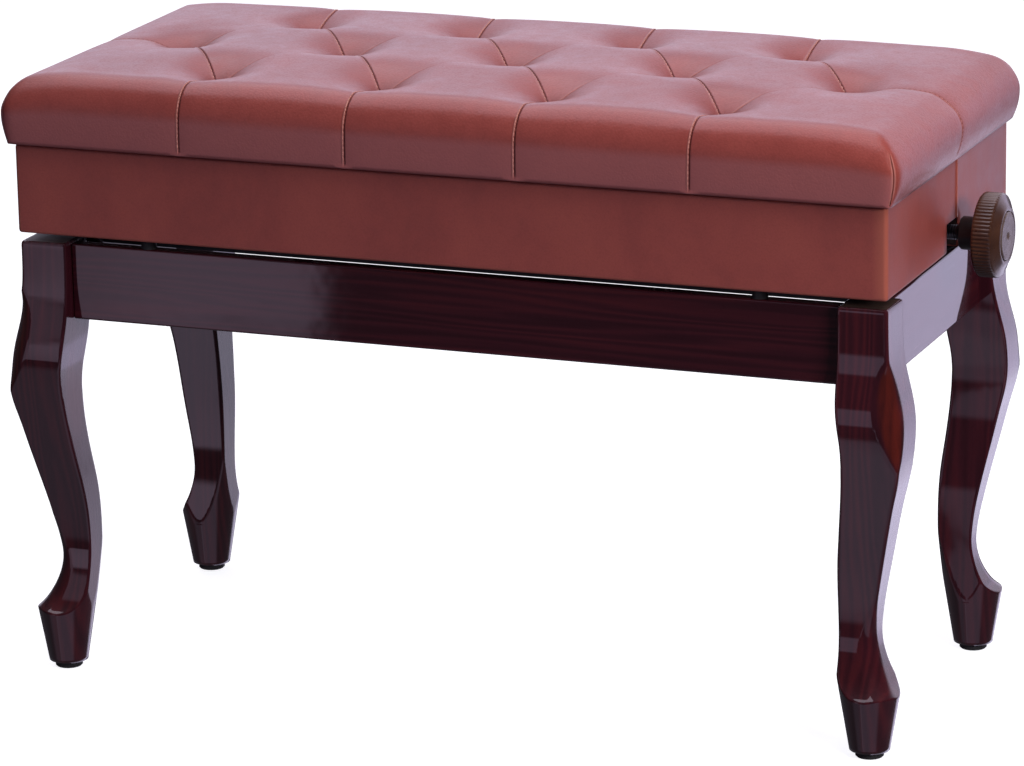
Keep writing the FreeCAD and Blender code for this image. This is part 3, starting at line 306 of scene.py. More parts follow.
def board(name, axis, tones):
    k = Look(name)
    k.set(Specular_IOR_Level=0.35)
    scale = {"X": (4.0, 70.0, 70.0), "Y": (70.0, 4.0, 70.0)}[axis]
    bands = k.noise(1.0, 5.0, 0.6, 0.8, k.place(scale))
    pores = k.noise(1.0, 3.0, 0.6, 0.1, k.place({"X": (25.0, 600.0, 600.0), "Y": (600.0, 25.0, 600.0)}[axis]))
    colour = k.ramp(k.math("ADD", k.math("MULTIPLY", bands, 0.75), k.math("MULTIPLY", pores, 0.25)),
                    list(zip((0.32, 0.5, 0.7), tones)))
    return k.done(colour, k.span(pores, 0.3, 0.7, 0.62, 0.48), k.bump(pores, 0.0002, 0.4))


PALE_BOARD = ((0.3, 0.175, 0.085), (0.43, 0.27, 0.14), (0.53, 0.36, 0.2))
DARK_BOARD = ((0.03, 0.018, 0.015), (0.055, 0.033, 0.027), (0.085, 0.052, 0.042))


def woven(name, low, high, pitch):
    k = Look(name)
    k.set(Specular_IOR_Level=0.25, Sheen_Weight=0.25, Sheen_Roughness=0.5)
    warp = k.wave(pitch, "X", 0.3)
    weft = k.wave(pitch, "Y", 0.3)
    cloth = k.math("MULTIPLY", warp, weft)
    colour = k.ramp(k.math("ADD", k.math("MULTIPLY", cloth, 0.7), k.math("MULTIPLY", k.noise(60.0), 0.3)),
                    [(0.2, low), (0.8, high)])
    return k.done(colour, k.span(cloth, 0, 1, 0.95, 0.75), k.bump(cloth, 0.0003, 0.6))


def plastic(name, low, high, rough_low, rough_high, coat=0.0, level=0.5):
    k = Look(name)
    k.set(Specular_IOR_Level=level, Coat_Weight=coat, Coat_Roughness=0.06)
    cloud = k.noise(50.0, 4.0, 0.6)
    colour = k.ramp(cloud, [(0.3, low), (0.7, high)])
    return k.done(colour, k.span(k.noise(260.0, 3.0), 0.3, 0.7, rough_low, rough_high),
                  k.bump(k.noise(700.0, 2.0), 0.00005, 0.25))


L = {
    "seat_leather": seat_leather(),
    "box_leather": box_leather("box_leather_matt", 0.46, 0.6, 0.46),
    "box_leather_back": box_leather("box_leather_sheen", 0.33, 0.45, 0.4),
    "thread": thread_look(),
    "lacquer_x": lacquer("mahogany_lacquer_long", "X"),
    "lacquer_y": lacquer("mahogany_lacquer_end", "Y"),
    "lacquer_z": lacquer("mahogany_lacquer_leg", "Z"),
    "black_rubber": rubber(),
    "black_steel": painted_steel(),
    "zinc_steel": plated_steel("zinc_plated_steel", (0.36, 0.36, 0.35), (0.62, 0.62, 0.6), 0.24, 0.4),
    "dark_steel": screw_steel(),
    "bronze": bronze(),
    "plain_board": board("plain_board_long", "X", PALE_BOARD),
    "dark_board": board("dark_board_long", "X", DARK_BOARD),
    "dark_board_y": board("dark_board_end", "Y", DARK_BOARD),
    "black_cloth": woven("black_dust_cloth", (0.008, 0.008, 0.009), (0.034, 0.034, 0.036), 260.0),
    "brown_plastic": plastic("knob_brown", (0.03, 0.011, 0.0065), (0.058, 0.023, 0.013), 0.26, 0.38, 0.35),
    "black_plastic": plastic("sleeve_black", (0.006, 0.006, 0.007), (0.016, 0.016, 0.018), 0.3, 0.42),
    "pearl_plastic": plastic("knob_disc", (0.055, 0.033, 0.029), (0.1, 0.068, 0.062), 0.24, 0.34, 0.0, 0.3),
}


# ------------------------------------------------------------------ mesh helpers
def make(name, verts, faces, looks, body, stands_for=(), smooth=True, face_look=None):
    """New piece from points in millimetres."""
    mesh = bpy.data.meshes.new(name)
    mesh.from_pydata((np.asarray(verts, float) * MM).tolist(), [], [list(map(int, f)) for f in faces])
    return finish_mesh(name, mesh, looks, body, stands_for, smooth, face_look)


def finish_mesh(name, mesh, looks, body, stands_for=(), smooth=True, face_look=None):
    mesh.update()
    mesh.polygons.foreach_set("use_smooth", np.full(len(mesh.polygons), smooth))
    for look in looks if isinstance(looks, (list, tuple)) else [looks]:
        mesh.materials.append(look)
    if face_look is not None:
        mesh.polygons.foreach_set("material_index", np.asarray(face_look, np.int32))
    obj = bpy.data.objects.new(name, mesh)
    scene.collection.objects.link(obj)
    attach(obj, body)
    if stands_for:
        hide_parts(*stands_for)
    return obj


def lattice(rows, columns, closed=False):
    """Quads of a grid of points stored row by row; closed joins the last column to the first."""
    r, c = np.meshgrid(np.arange(rows - 1), np.arange(columns if closed else columns - 1), indexing="ij")
    d = (c + 1) % columns
    return np.stack([r * columns + c, r * columns + d, (r + 1) * columns + d, (r + 1) * columns + c], -1).reshape(-1, 4)


def spline(xs, ys):
    """Natural cubic through the points, as a function."""
    order = np.argsort(xs)
    x, y = np.asarray(xs, float)[order], np.asarray(ys, float)[order]
    n = len(x)
    step = np.diff(x)
    a = np.eye(n)
    b = np.zeros(n)
    for k in range(1, n - 1):
        a[k, k - 1], a[k, k], a[k, k + 1] = step[k - 1], 2 * (step[k - 1] + step[k]), step[k]
        b[k] = 6 * ((y[k + 1] - y[k]) / step[k] - (y[k] - y[k - 1]) / step[k - 1])
    m = np.linalg.solve(a, b)

    def at(v):
        v = np.asarray(v, float)
        k = np.clip(np.searchsorted(x, v) - 1, 0, n - 2)
        t, s = x[k + 1] - v, v - x[k]
        g = step[k]
        return (m[k] * t ** 3 + m[k + 1] * s ** 3) / (6 * g) + (y[k] / g - m[k] * g / 6) * t + (y[k + 1] / g - m[k + 1] * g / 6) * s

    return at


def smooth_step(v, a, b):
    t = np.clip((np.asarray(v, float) - a) / (b - a), 0, 1)
    return t * t * (3 - 2 * t)


# ------------------------------------------------------------------ cabriole legs
FACE_X, FACE_Y = 372.0, 161.0
FOOT_X, FOOT_Y = 19.5, 17.9
OUTER_X = [(370, 0), (345, 0.2), (325, 1.6), (308, 5.0), (292, 9.0), (277, 11.8), (262, 12.6), (247, 12.1),
           (232, 10.0), (216, 6.1), (198, 2.0), (180, -1.9), (162, -5.8), (144, -9.6), (126, -13.0),
           (108, -15.2), (99.6, -15.6), (91, -14.9), (82.5, -13.0), (74.2, -10.2), (66, -6.4),
           (58.2, -1.6), (52.5, 3.6), (46.0, 11.5)]
INNER_X = [(370, -41), (330, -41), (310, -41), (292, -40.2), (277, -38.4), (262, -36.3), (247, -35.7),
           (232, -36.4), (216, -37.6), (198, -39.4), (180, -41.4), (162, -43.4), (144, -44.6), (126, -45.0),
           (108, -44.9), (92, -44.5), (70, -44.0), (46.0, -44.0)]
OUTER_Y = [(370, 0), (345, 0.0), (325, 1.3), (308, 5.0), (292, 9.2), (277, 11.4), (262, 11.0), (247, 9.2),
           (232, 6.6), (216, 3.6), (198, 0.4), (180, -3.4), (162, -7.4), (144, -11.2), (126, -14.0),
           (108, -15.2), (99.6, -15.0), (91, -13.9), (82.5, -11.9), (74.2, -9.0), (66, -5.4),
           (58.2, -0.8), (52.5, 4.2), (46.0, 12.0)]
INNER_Y = [(370, -41), (330, -41), (310, -41), (292, -40.0), (277, -38.0), (262, -35.2), (247, -32.4),
           (232, -31.2), (216, -31.2), (198, -32.2), (180, -34.4), (162, -37.0), (144, -38.8), (126, -39.6),
           (108, -39.8), (92, -39.8), (70, -40.2), (46.0, -41)]


def leg_points():
    """Rings of one leg as (outward x, outward y, height), measured from its block's outer faces."""
    z = np.concatenate([np.linspace(6, 44, 14), np.linspace(45, 64, 34), np.linspace(65.5, 100, 22),
                        np.linspace(102.5, 366, 110), [367.6, 368.7, 369.5, 369.9, 370.0]])
    lip = np.interp(z, [366, 367.6, 368.7, 369.5, 369.9, 370.0], [0, 0.12, 0.45, 0.95, 1.5, 2.1])

    def limits(outs, inns):
        o = np.where(z < 46, 12 + (46 - z) * 1.6, spline(*zip(*outs))(np.maximum(z, 46)))
        i = np.where(z < 46, -44 - (46 - z) * 0.6, spline(*zip(*inns))(np.maximum(z, 46)))
        i = np.where(z > 300, np.maximum(i, -41.0), i)
        return (o - lip)[:, None], (i + lip)[:, None]

    ox, ix = limits(OUTER_X, INNER_X)
    oy, iy = limits(OUTER_Y, INNER_Y)
    cone = (16.3 + (z - 6) * 17.8 / 106)[:, None] + np.where(z > 108, (z - 108) * 0.8, 0)[:, None]
    s = np.where(z > 288, (330 - z) / 42 * 0.5, 0.5 + (288 - z) / 48 * 0.5)
    knee = np.where((z > 240) & (z < 330), 17.5 * np.clip(np.sin(np.pi * np.clip(s, 0, 1)), 0, 1) ** 0.9, 0)
    ankle = 17.0 * (1 - smooth_step(z, 62, 165)) ** 1.4
    power = (2.0 - 0.447 * smooth_step(knee, 3, 9))[:, None]
    knee = np.maximum(np.maximum(knee, ankle), 2.2)[:, None]
    mid_x, mid_y = (ox + ix) / 2, (oy + iy) / 2
    low_part = (1 - smooth_step(z, 50, 78))[:, None]
    centre_x = mid_x + (-FOOT_X - mid_x) * low_part
    centre_y = mid_y + (-FOOT_Y - mid_y) * low_part
    t = np.linspace(-1, 1, 33)[:-1]
    t = np.sign(t) * (1 - (1 - np.abs(t)) ** 1.6)
    side = np.arctan(t)
    phi = np.concatenate([side + q * math.pi / 2 for q in range(4)])[None, :]
    dx, dy = np.cos(phi), np.sin(phi)
    small = 1.6

    def outside(r):
        a, b = centre_x + r * dx, centre_y + r * dy
        qx, qy = np.abs(a - mid_x) - (ox - ix) / 2, np.abs(b - mid_y) - (oy - iy) / 2
        corner = (a > mid_x) & (b > mid_y)
        c = np.where(corner, knee, small)
        n = np.where(corner, power, 2.0)
        u, v = np.maximum(qx + c, 0), np.maximum(qy + c, 0)
        d = (u ** n + v ** n) ** (1 / n) - c
        e = np.hypot(a + FOOT_X, b + FOOT_Y) - cone
        k = 0.9
        h = np.clip(0.5 + 0.5 * (d - e) / k, 0, 1)
        return e + (d - e) * h + k * h * (1 - h)

    low, high = np.zeros((len(z), phi.shape[1])), np.full((len(z), phi.shape[1]), 60.0)
    for _ in range(30):
        r = (low + high) / 2
        f = outside(r) > 0
        high, low = np.where(f, r, high), np.where(f, low, r)
    r = (low + high) / 2
    return centre_x + r * dx, centre_y + r * dy, np.repeat(z[:, None], phi.shape[1], 1)


def legs():
    a, b, z = leg_points()
    rows, columns = a.shape
    quads = lattice(rows, columns, True)
    for name, sx, sy in (("leg_front_left", -1, -1), ("leg_front_right", 1, -1), ("leg_back_left", -1, 1),
                         ("leg_back_right", 1, 1)):
        p = np.stack([sx * (FACE_X + a), sy * (FACE_Y + b), z], -1).reshape(-1, 3)
        flip = sx * sy < 0
        faces = [f[::-1] if flip else f for f in quads.tolist()]
        bottom = list(range(columns))
        top = [(rows - 1) * columns + k for k in range(columns)]
        faces += [bottom if flip else bottom[::-1], top[::-1] if flip else top]
        ends = [0] * (len(faces) - 1) + [1]
        leg = make("carved_" + name, p, faces, [L["lacquer_z"], L["dark_board"]], "base", [name], True, ends)
        # Painted light: the lacquer is painted redder on the knee's corner and the top of the ankle, standing in for
        # the key light falling on those faces.
        n = np.zeros(len(leg.data.vertices) * 3)
        leg.data.vertices.foreach_get("normal", n)
        n = n.reshape(-1, 3)
        corner = (sx * n[:, 0] + sy * n[:, 1]) / math.sqrt(2)
        tall = p[:, 2]
        painted_light = smooth_step(corner, 0.82, 0.97) * smooth_step(tall, 232, 258) * (1 - smooth_step(tall, 318, 334))
        low = smooth_step(n[:, 2], 0.12, 0.45) * smooth_step(tall, 44, 52) * (1 - smooth_step(tall, 96, 116))
        attr = leg.data.attributes.new("painted_light", "FLOAT", "POINT")
        attr.data.foreach_set("value", np.maximum(painted_light, 0.15 * low).astype(np.float32))
        leg.data.polygons[len(faces) - 2].use_smooth = False
        leg.data.polygons[len(faces) - 1].use_smooth = False


def rounded_board(name, low, high, radius, look, body, stands_for, segments=4, pieces=1):
    """Board with rounded edges and even shading on its faces."""
    bm = bmesh.new()
    bmesh.ops.create_cube(bm, size=1.0)
    low, high = np.array(low) * MM, np.array(high) * MM
    for v in bm.verts:
        v.co = Vector([(high[k] + low[k]) / 2 + v.co[k] * (high[k] - low[k]) for k in range(3)])
    bmesh.ops.bevel(bm, geom=bm.edges[:], offset=radius * MM, segments=segments, profile=0.5, affect="EDGES")
    mesh = bpy.data.meshes.new(name)
    bm.to_mesh(mesh)
    bm.free()
    obj = finish_mesh(name, mesh, look, body, stands_for)
    w = obj.modifiers.new("even_faces", "WEIGHTED_NORMAL")
    w.mode = "FACE_AREA"
    w.weight = 100
    return obj


def aprons():
    half_x, half_y = FACE_X - 41.0, FACE_Y - 41.0
    out_x, out_y, thick = FACE_X - 10, FACE_Y - 10, 13.0
    z0, z1 = 304.5, 368.0
    rounded_board("apron_board_front", (-half_x, -out_y, z0), (half_x, thick - out_y, z1), 1.6, L["lacquer_x"], "base",
                  ["apron_front"])
    rounded_board("apron_board_back", (-half_x, out_y - thick, z0), (half_x, out_y, z1), 1.6, L["lacquer_x"], "base",
                  ["apron_back"])
    rounded_board("apron_board_left", (-out_x, -half_y, z0), (thick - out_x, half_y, z1), 1.6, L["lacquer_y"], "base",
                  ["apron_left"])
    rounded_board("apron_board_right", (out_x - thick, -half_y, z0), (out_x, half_y, z1), 1.6, L["lacquer_y"], "base",
                  ["apron_right"])


# ------------------------------------------------------------------ leather wrap of the storage box
BOX_X, BOX_Y, BOX_LOW, BOX_HIGH = 372.5, 163.75, 377.3, 452.0
NOTCH = (-7.0, 23.0, 402.3)
SEAM_Y = 19.0


def box_wrap():
    round_r = 3.5

    def run(a, b, step):
        return np.linspace(a, b, max(2, int(round(abs(b - a) / step)) + 1))[:-1]

    # Walk round the box: front, right end, back, left end, with the corners as arcs.
    path = []
    sx, sy = BOX_X - round_r, BOX_Y - round_r
    arc = np.linspace(0, math.pi / 2, 7)
    for x in run(-sx, sx, 9.0):
        path.append((x, -BOX_Y, 0.0, -1.0, 0))
    for t in arc[:-1]:
        path.append((sx, -sy, math.sin(t), -math.cos(t), 1))
    ys = [-sy] + [y for y in run(-sy, NOTCH[0], 9.0)[1:]] + [NOTCH[0]] + [y for y in run(NOTCH[0], SEAM_Y - 1.2, 6.0)[1:]]
    ys += [SEAM_Y - 1.2, SEAM_Y - 0.5, SEAM_Y - 0.1, SEAM_Y + 0.4, SEAM_Y + 1.2, NOTCH[1]]
    ys += [y for y in run(NOTCH[1], sy, 9.0)[1:]]
    for y in ys:
        path.append((BOX_X, y, 1.0, 0.0, 0))
    for t in arc[:-1]:
        path.append((sx, sy, math.cos(t), math.sin(t), 1))
    for x in run(sx, -sx, 9.0):
        path.append((x, BOX_Y, 0.0, 1.0, 0))
    for t in arc[:-1]:
        path.append((-sx, sy, -math.sin(t), math.cos(t), 1))
    for y in run(sy, -sy, 9.0):
        path.append((-BOX_X, y, -1.0, 0.0, 0))
    for t in arc[:-1]:
        path.append((-sx, -sy, -math.cos(t), -math.sin(t), 1))
    # Section: how far in from the outer face, and height; out, down the outside, under, and back up inside.
    middle = [444, 436, 428, 420, 412, NOTCH[2], 396, 390, 385]
    outside = [(15.1, 451.0), (15.0, 451.7), (14.3, 452.0), (8.0, 452.0), (2.8, 452.0), (1.5, 451.7), (0.6, 451.0),
               (0.12, 449.9), (0.0, 448.6)] + [(0.0, z) for z in middle] + \
              [(0.0, 380.6), (0.12, 379.4), (0.6, 378.3), (1.5, 377.6), (2.8, 377.3), (8.0, 377.3), (14.3, 377.3),
               (15.0, 377.6), (15.1, 378.4)]
    inside = [(1.05, 378.45)] + [(1.05, z) for z in middle[::-1]] + [(1.05, 450.95)]
    section = outside + inside
    n_path, n_sec = len(path), len(section)
    verts = np.zeros((n_path, n_sec, 3))
    edge = np.zeros((n_path, n_sec))
    for p, (x, y, nx, ny, corner) in enumerate(path):
        for q, (e, z) in enumerate(section):
            lift = 0.0
            if x == BOX_X and nx == 1.0 and e < 1.0 and y > SEAM_Y - 0.6:
                lift = 0.75 if y > SEAM_Y + 0.2 else 1.0
            if corner:
                c = max(round_r, e)
                cx, cy = math.copysign(BOX_X - c, x), math.copysign(BOX_Y - c, y)
                r = max(round_r - e, 0.0)
                verts[p, q] = (cx + nx * r, cy + ny * r, z)
            else:
                bx = min(max(x, e - BOX_X), BOX_X - e) if nx == 0 else x - nx * (e - lift)
                by = min(max(y, e - BOX_Y), BOX_Y - e) if ny == 0 else y - ny * (e - lift)
                verts[p, q] = (bx, by, z)
            # Mask for the painted highlight: the rounded corners, the rounded bottom edges and the end seam's step.
            near = 0.0
            if corner and e < 0.3:
                near = 0.8
            if q < len(outside) and (0.05 < e < 2.0) and z < 400:
                near = max(near, 0.45)
            if nx == 1.0 and abs(y - SEAM_Y) < 1.0 and e < 1.0:
                near = 1.0
            edge[p, q] = near
    cut_rows = [q for q in range(n_sec) if section[q][1] <= NOTCH[2] + 1e-6]
    q0, q1 = min(cut_rows), max(cut_rows)
    first = next(p for p, v in enumerate(path) if v[0] == BOX_X and v[2] == 1.0 and abs(v[1] - NOTCH[0]) < 1e-6)
    last = next(p for p, v in enumerate(path) if v[0] == BOX_X and v[2] == 1.0 and abs(v[1] - NOTCH[1]) < 1e-6)
    faces, look = [], []

    def vid(p, q):
        return (p % n_path) * n_sec + q % n_sec

    for p in range(n_path):
        behind = path[p][2] == 1.0 and path[p][0] == BOX_X and path[p][1] > SEAM_Y - 0.3
        for q in range(n_sec):
            if first <= p < last and q0 <= q < q1:
                continue
            faces.append([vid(p, q), vid(p, q + 1), vid(p + 1, q + 1), vid(p + 1, q)])
            look.append(1 if behind else 0)
    faces.append([vid(first, q) for q in range(q0, q1 + 1)])
    faces.append([vid(last, q) for q in range(q1, q0 - 1, -1)])
    look += [0, 0]
    for p in range(first, last):
        faces.append([vid(p, q0), vid(p, q1), vid(p + 1, q1), vid(p + 1, q0)])
        look.append(0)
    obj = make("leather_box_wrap", verts.reshape(-1, 3), faces, [L["box_leather"], L["box_leather_back"]], "seat_box",
               ["box_wrap"], True, look)
    tag = obj.data.attributes.new("edge", "FLOAT", "POINT")
    tag.data.foreach_set("value", edge.reshape(-1).astype(np.float32))
    bm = bmesh.new()
    bm.from_mesh(obj.data)
    bmesh.ops.remove_doubles(bm, verts=bm.verts[:], dist=0.02 * MM)
    bmesh.ops.dissolve_degenerate(bm, edges=bm.edges[:], dist=0.005 * MM)
    bmesh.ops.recalc_face_normals(bm, faces=bm.faces[:])
    bm.to_mesh(obj.data)
    bm.free()
    w = obj.modifiers.new("even_faces", "WEIGHTED_NORMAL")
    w.mode = "FACE_AREA"
    w.weight = 60
    return obj


# ------------------------------------------------------------------ hand knob
def knob():
    y0, z0, back = 8.0, 393.0, 397.2
    count, per = 66, 8
    profile = [(0.0, 6.2), (0.0, 20.0), (0.0, 31.6), (0.25, 32.6), (0.8, 33.3), (1.6, 33.8), (2.6, 34.0), (4.0, 34.0), (8.0, 34.0),
               (12.0, 34.0), (13.6, 34.0), (14.8, 33.85), (15.7, 33.5), (16.4, 32.9), (16.9, 32.0), (17.25, 30.9),
               (18.1, 29.0), (19.2, 26.6), (20.2, 24.6), (20.8, 23.4), (21.1, 22.6), (21.25, 21.8), (21.2, 21.0), (20.9, 20.3),
               (20.3, 19.8), (19.4, 19.6), (19.4, 10.0), (19.4, 0.6)]
    columns = count * per
    theta = np.arange(columns) * 2 * math.pi / columns
    flute = 0.5 - 0.5 * np.cos(theta * count)
    rows = []
    for x, r in profile:
        deep = 0.75 * smooth_step(x, 0.2, 2.4) * (1 - smooth_step(x, 13.8, 16.6)) if r > 30 else 0.0
        rr = r - deep * (1 - flute ** 0.7)
        rows.append(np.stack([np.full(columns, back + x), y0 + rr * np.cos(theta), z0 + rr * np.sin(theta)], -1))
    p = np.concatenate(rows)
    faces = [f[::-1] for f in lattice(len(profile), columns, True).tolist()]
    faces.append(list(range(columns)))
    faces.append([(len(profile) - 1) * columns + k for k in range(columns)][::-1])
    obj = make("fluted_knob", p, faces, L["brown_plastic"], "screw", ["hand_knob"])
    bm = bmesh.new()
    bm.from_mesh(obj.data)
    bmesh.ops.recalc_face_normals(bm, faces=bm.faces[:])
    bm.to_mesh(obj.data)
    bm.free()
    # Round disc set in the knob's face, slightly dished, with a small dimple in its middle.
    disc = [(19.45, 0.0), (19.45, 19.3), (20.6, 19.45), (21.3, 19.2), (21.7, 18.6), (21.8, 17.6), (21.6, 14.0), (21.45, 9.0),
            (21.4, 4.6), (21.3, 3.4), (20.9, 2.6), (20.5, 1.8), (20.4, 0.0)]
    n = 96
    t = np.arange(n) * 2 * math.pi / n
    rows = [np.stack([np.full(n, back + x), y0 + max(r, 0.02) * np.cos(t), z0 + max(r, 0.02) * np.sin(t)], -1) for x, r in disc]
    faces = lattice(len(disc), n, True).tolist()
    faces += [list(range(n)), [(len(disc) - 1) * n + k for k in range(n)][::-1]]
    cap = make("knob_face_disc", np.concatenate(rows), faces, L["pearl_plastic"], "screw", ["knob_cap"])
    bm = bmesh.new()
    bm.from_mesh(cap.data)
    bmesh.ops.recalc_face_normals(bm, faces=bm.faces[:])
    bm.to_mesh(cap.data)
    bm.free()


# ------------------------------------------------------------------ tufted cushion
# The cover is laid out flat as (u, v): the top is |u| <= HX and |v| <= HY, and the four
# borders hang down beyond it. sheet_point folds the layout over the padding.
HX, HY, ZT, ZB, ROLL_IN, ROLL_DOWN = 381.5, 172.0, 512.0, 453.3, 25.0, 27.0
DROP = ZT - ZB
ROW_BACK, ROW_MID, ROW_FRONT = 95.0, -1.0, -100.0
TUFTS = {"A": (-217.5, ROW_BACK), "F": (-72.5, ROW_BACK), "G": (72.5, ROW_BACK), "K": (217.5, ROW_BACK),
         "B": (-290.0, ROW_MID), "C": (-145.0, ROW_MID), "H": (0.0, ROW_MID), "I": (145.0, ROW_MID), "L": (290.0, ROW_MID),
         "D": (-217.5, ROW_FRONT), "E": (-72.5, ROW_FRONT), "J": (72.5, ROW_FRONT), "M": (217.5, ROW_FRONT)}
STRONG = ["AC", "CE", "FH", "HJ", "GI", "IM", "KL", "BD"]
WEAK = ["AB", "FC", "GH", "KI", "CD", "HE", "IJ", "LM"]
EDGE_SEAMS = []
for t in "AFGK":
    EDGE_SEAMS.append((TUFTS[t], (TUFTS[t][0] - 6.0, HY + DROP), 1.0))
for t in "DEJM":
    EDGE_SEAMS.append((TUFTS[t], (TUFTS[t][0] - 3.5, -HY - DROP), -1.0))
EDGE_SEAMS.append((TUFTS["L"], (HX + DROP, ROW_MID), -1.0))
EDGE_SEAMS.append((TUFTS["B"], (-HX - DROP, ROW_MID), 1.0))
END_FORM = spline([0, 0.035, 0.1, 0.2, 0.33, 0.45, 0.6, 0.82, 1.0], [-4.3, -3.6, -2.2, -0.4, 1.0, 1.5, 1.1, 0.0, 0.0])
LONG_FORM = spline([0, 0.04, 0.1, 0.2, 0.33, 0.45, 0.6, 0.82, 1.0], [-0.9, -0.5, -0.1, 0.45, 0.95, 1.2, 1.0, 0.0, 0.0])


def along_segment(u, v, a, b):
    """Share along the segment, distance from it and signed offset to its left."""
    ax, ay = a
    bx, by = b
    dx, dy = bx - ax, by - ay
    long = math.hypot(dx, dy)
    s = ((u - ax) * dx + (v - ay) * dy) / long ** 2
    side = ((u - ax) * -dy + (v - ay) * dx) / long
    c = np.clip(s, 0, 1)
    d = np.hypot(u - (ax + c * dx), v - (ay + c * dy))
    return s, d, side, long


def cover_relief(u, v):
    """Depth of the cover under the smooth padding, with the seam marks: (depth, welt, deep); welt masks the painted
    highlight on the seams' rolled edges, deep masks the painted shade in tuft pits and seam grooves.
    """
    depth = np.zeros_like(u)
    welt = np.zeros_like(u)
    deep = np.zeros_like(u)
    pinch = np.zeros_like(u)
    for x, y in TUFTS.values():
        r = np.hypot(u - x, v - y)
        soft = np.sqrt(r * r + 9.0) - 3.0
        depth += 11.0 * np.exp(-(r / 38.0) ** 2) + 9.0 * np.exp(-soft / 9.5)
        pinch = np.maximum(pinch, np.exp(-(r / 12.0) ** 2))
        # Painted shade mask: darkest at each tuft's pinch and fading over its pit.
        deep = np.maximum(deep, 0.7 * np.exp(-(r / 7.5) ** 2) + 0.3 * np.exp(-(r / 19.0) ** 2))
    fall = np.maximum(np.abs(u) - HX, 0) + np.maximum(np.abs(v) - HY, 0)
    hem = 1 - smooth_step(fall, DROP - np.where(np.abs(v) > HY, 4.0, 16.0), DROP - 0.6)
    valley = np.zeros_like(u)
    for kind, pairs in (("strong", STRONG), ("weak", WEAK)):
        for a, b in pairs:
            s, d, side, long = along_segment(u, v, TUFTS[a], TUFTS[b])
            c = np.clip(s, 0, 1)
            reach = np.minimum(c, 1 - c) * long
            size = 0.7 + 3.2 * np.exp(-reach / 20.0) if kind == "strong" else 3.2 * np.exp(-reach / 19.0)
            round_d = np.sqrt(d * d + 3.0) - math.sqrt(3.0)
            valley = np.maximum(valley, size * np.exp(-round_d / (7.0 if kind == "strong" else 6.5)))
            seam_mark(s, d, side, long, 1.0 if kind == "strong" else 0.9 * np.exp(-(reach / 33.0) ** 2), -1.0,
                      depth, welt, deep)
    for a, b, hand in EDGE_SEAMS:
        s, d, side, long = along_segment(u, v, a, b)
        reach = np.clip(s, 0, 1) * long
        size = (0.6 + 3.0 * np.exp(-reach / 26.0)) * hem
        round_d = np.sqrt(d * d + 3.0) - math.sqrt(3.0)
        valley = np.maximum(valley, size * np.exp(-round_d / 5.5))
        seam_mark(s, d, side, long, hem, hand, depth, welt, deep)
    depth += valley * (1 - 0.6 * pinch)
    # Corner seams: the border's ends are sewn together up to the shoulder.
    hangs = smooth_step(fall, 2.0, 14.0) * hem
    q = np.where(np.abs(v) > HY, HX - np.abs(u), np.where(np.abs(u) > HX, HY - np.abs(v), 99.0))
    depth += hangs * (0.9 * np.exp(-q / 4.0) + 0.9 * np.exp(-(q / 0.7) ** 2))
    # Painted shade down each corner seam's groove and a painted highlight beside it.
    deep = np.maximum(deep, hangs * 0.7 * np.exp(-(q / 0.7) ** 2))
    welt = np.maximum(welt, hangs * 0.8 * np.exp(-((q - 1.5) / 0.8) ** 2))
    return depth, welt, deep


def seam_mark(s, d, side, long, strength, hand, depth, welt, deep):
    """Needle line: a narrow groove with a rolled edge on one side, pulled in at each stitch; the rolled edge gets a
    painted highlight mask and the groove a painted shade mask.
    """
    on = strength * ((s > 0.0) & (s < 1.0)) * np.clip(np.minimum(s, 1 - s) * long / 6.0, 0, 1) * (d < 8)
    pull = 0.75 + 0.25 * np.cos(2 * np.pi * s * long / STITCH)
    over = side * hand
    depth += on * (1.25 * np.exp(-(d / 0.65) ** 2) * pull - 0.45 * np.exp(-((over - 1.15) / 0.6) ** 2))
    np.maximum(welt, on * 0.8 * np.exp(-((over - 1.0) / 0.5) ** 2), out=welt)
    np.maximum(deep, on * np.exp(-((over + 0.4) / 0.85) ** 2), out=deep)


STITCH = 4.2


def padding(u, v):
    """Smooth padding under the cover: point and outward direction."""
    x, y = np.clip(u, -HX, HX), np.clip(v, -HY, HY)
    fall = np.maximum(np.abs(u) - HX, 0) + np.maximum(np.abs(v) - HY, 0)
    z = ZT - fall
    p = np.stack([x, y, z], -1)
    core = np.stack([np.clip(x, ROLL_IN - HX, HX - ROLL_IN), np.clip(y, ROLL_IN - HY, HY - ROLL_IN),
                     np.minimum(z, ZT - ROLL_DOWN)], -1)
    d = p - core
    e = d / np.array([ROLL_IN, ROLL_IN, ROLL_DOWN])
    ax, ay = np.abs(e[..., 0]), np.abs(e[..., 1])
    plan = (ax ** 6 + ay ** 6) ** (1 / 6)
    size = np.sqrt(plan ** 2 + e[..., 2] ** 2)
    p = core + d / size[..., None]
    safe = np.maximum(plan, 1e-6) ** 4
    n = np.stack([np.sign(d[..., 0]) * ax ** 5 / safe / ROLL_IN, np.sign(d[..., 1]) * ay ** 5 / safe / ROLL_IN,
                  e[..., 2] / ROLL_DOWN], -1)
    n /= np.linalg.norm(n, axis=-1, keepdims=True)
    up = np.clip(n[..., 2], 0, 1)
    height = np.clip((p[..., 2] - ZB) / DROP, 0, 1)
    p[..., 0] += n[..., 0] * END_FORM(height) * (1 - up)
    p[..., 1] += n[..., 1] * LONG_FORM(height) * (1 - up)
    crown = 7.5 * (1 - np.clip(np.abs(p[..., 0] / HX), 0, 1) ** 3.2) * (1 - np.clip(np.abs(p[..., 1] / HY), 0, 1) ** 2.3)
    droop = 9.0 * np.clip((np.abs(p[..., 0]) - 318.0) / 64.0, 0, 1.1) ** 2
    p[..., 2] += crown * up - droop * height
    return p, n


swell_maps = {}


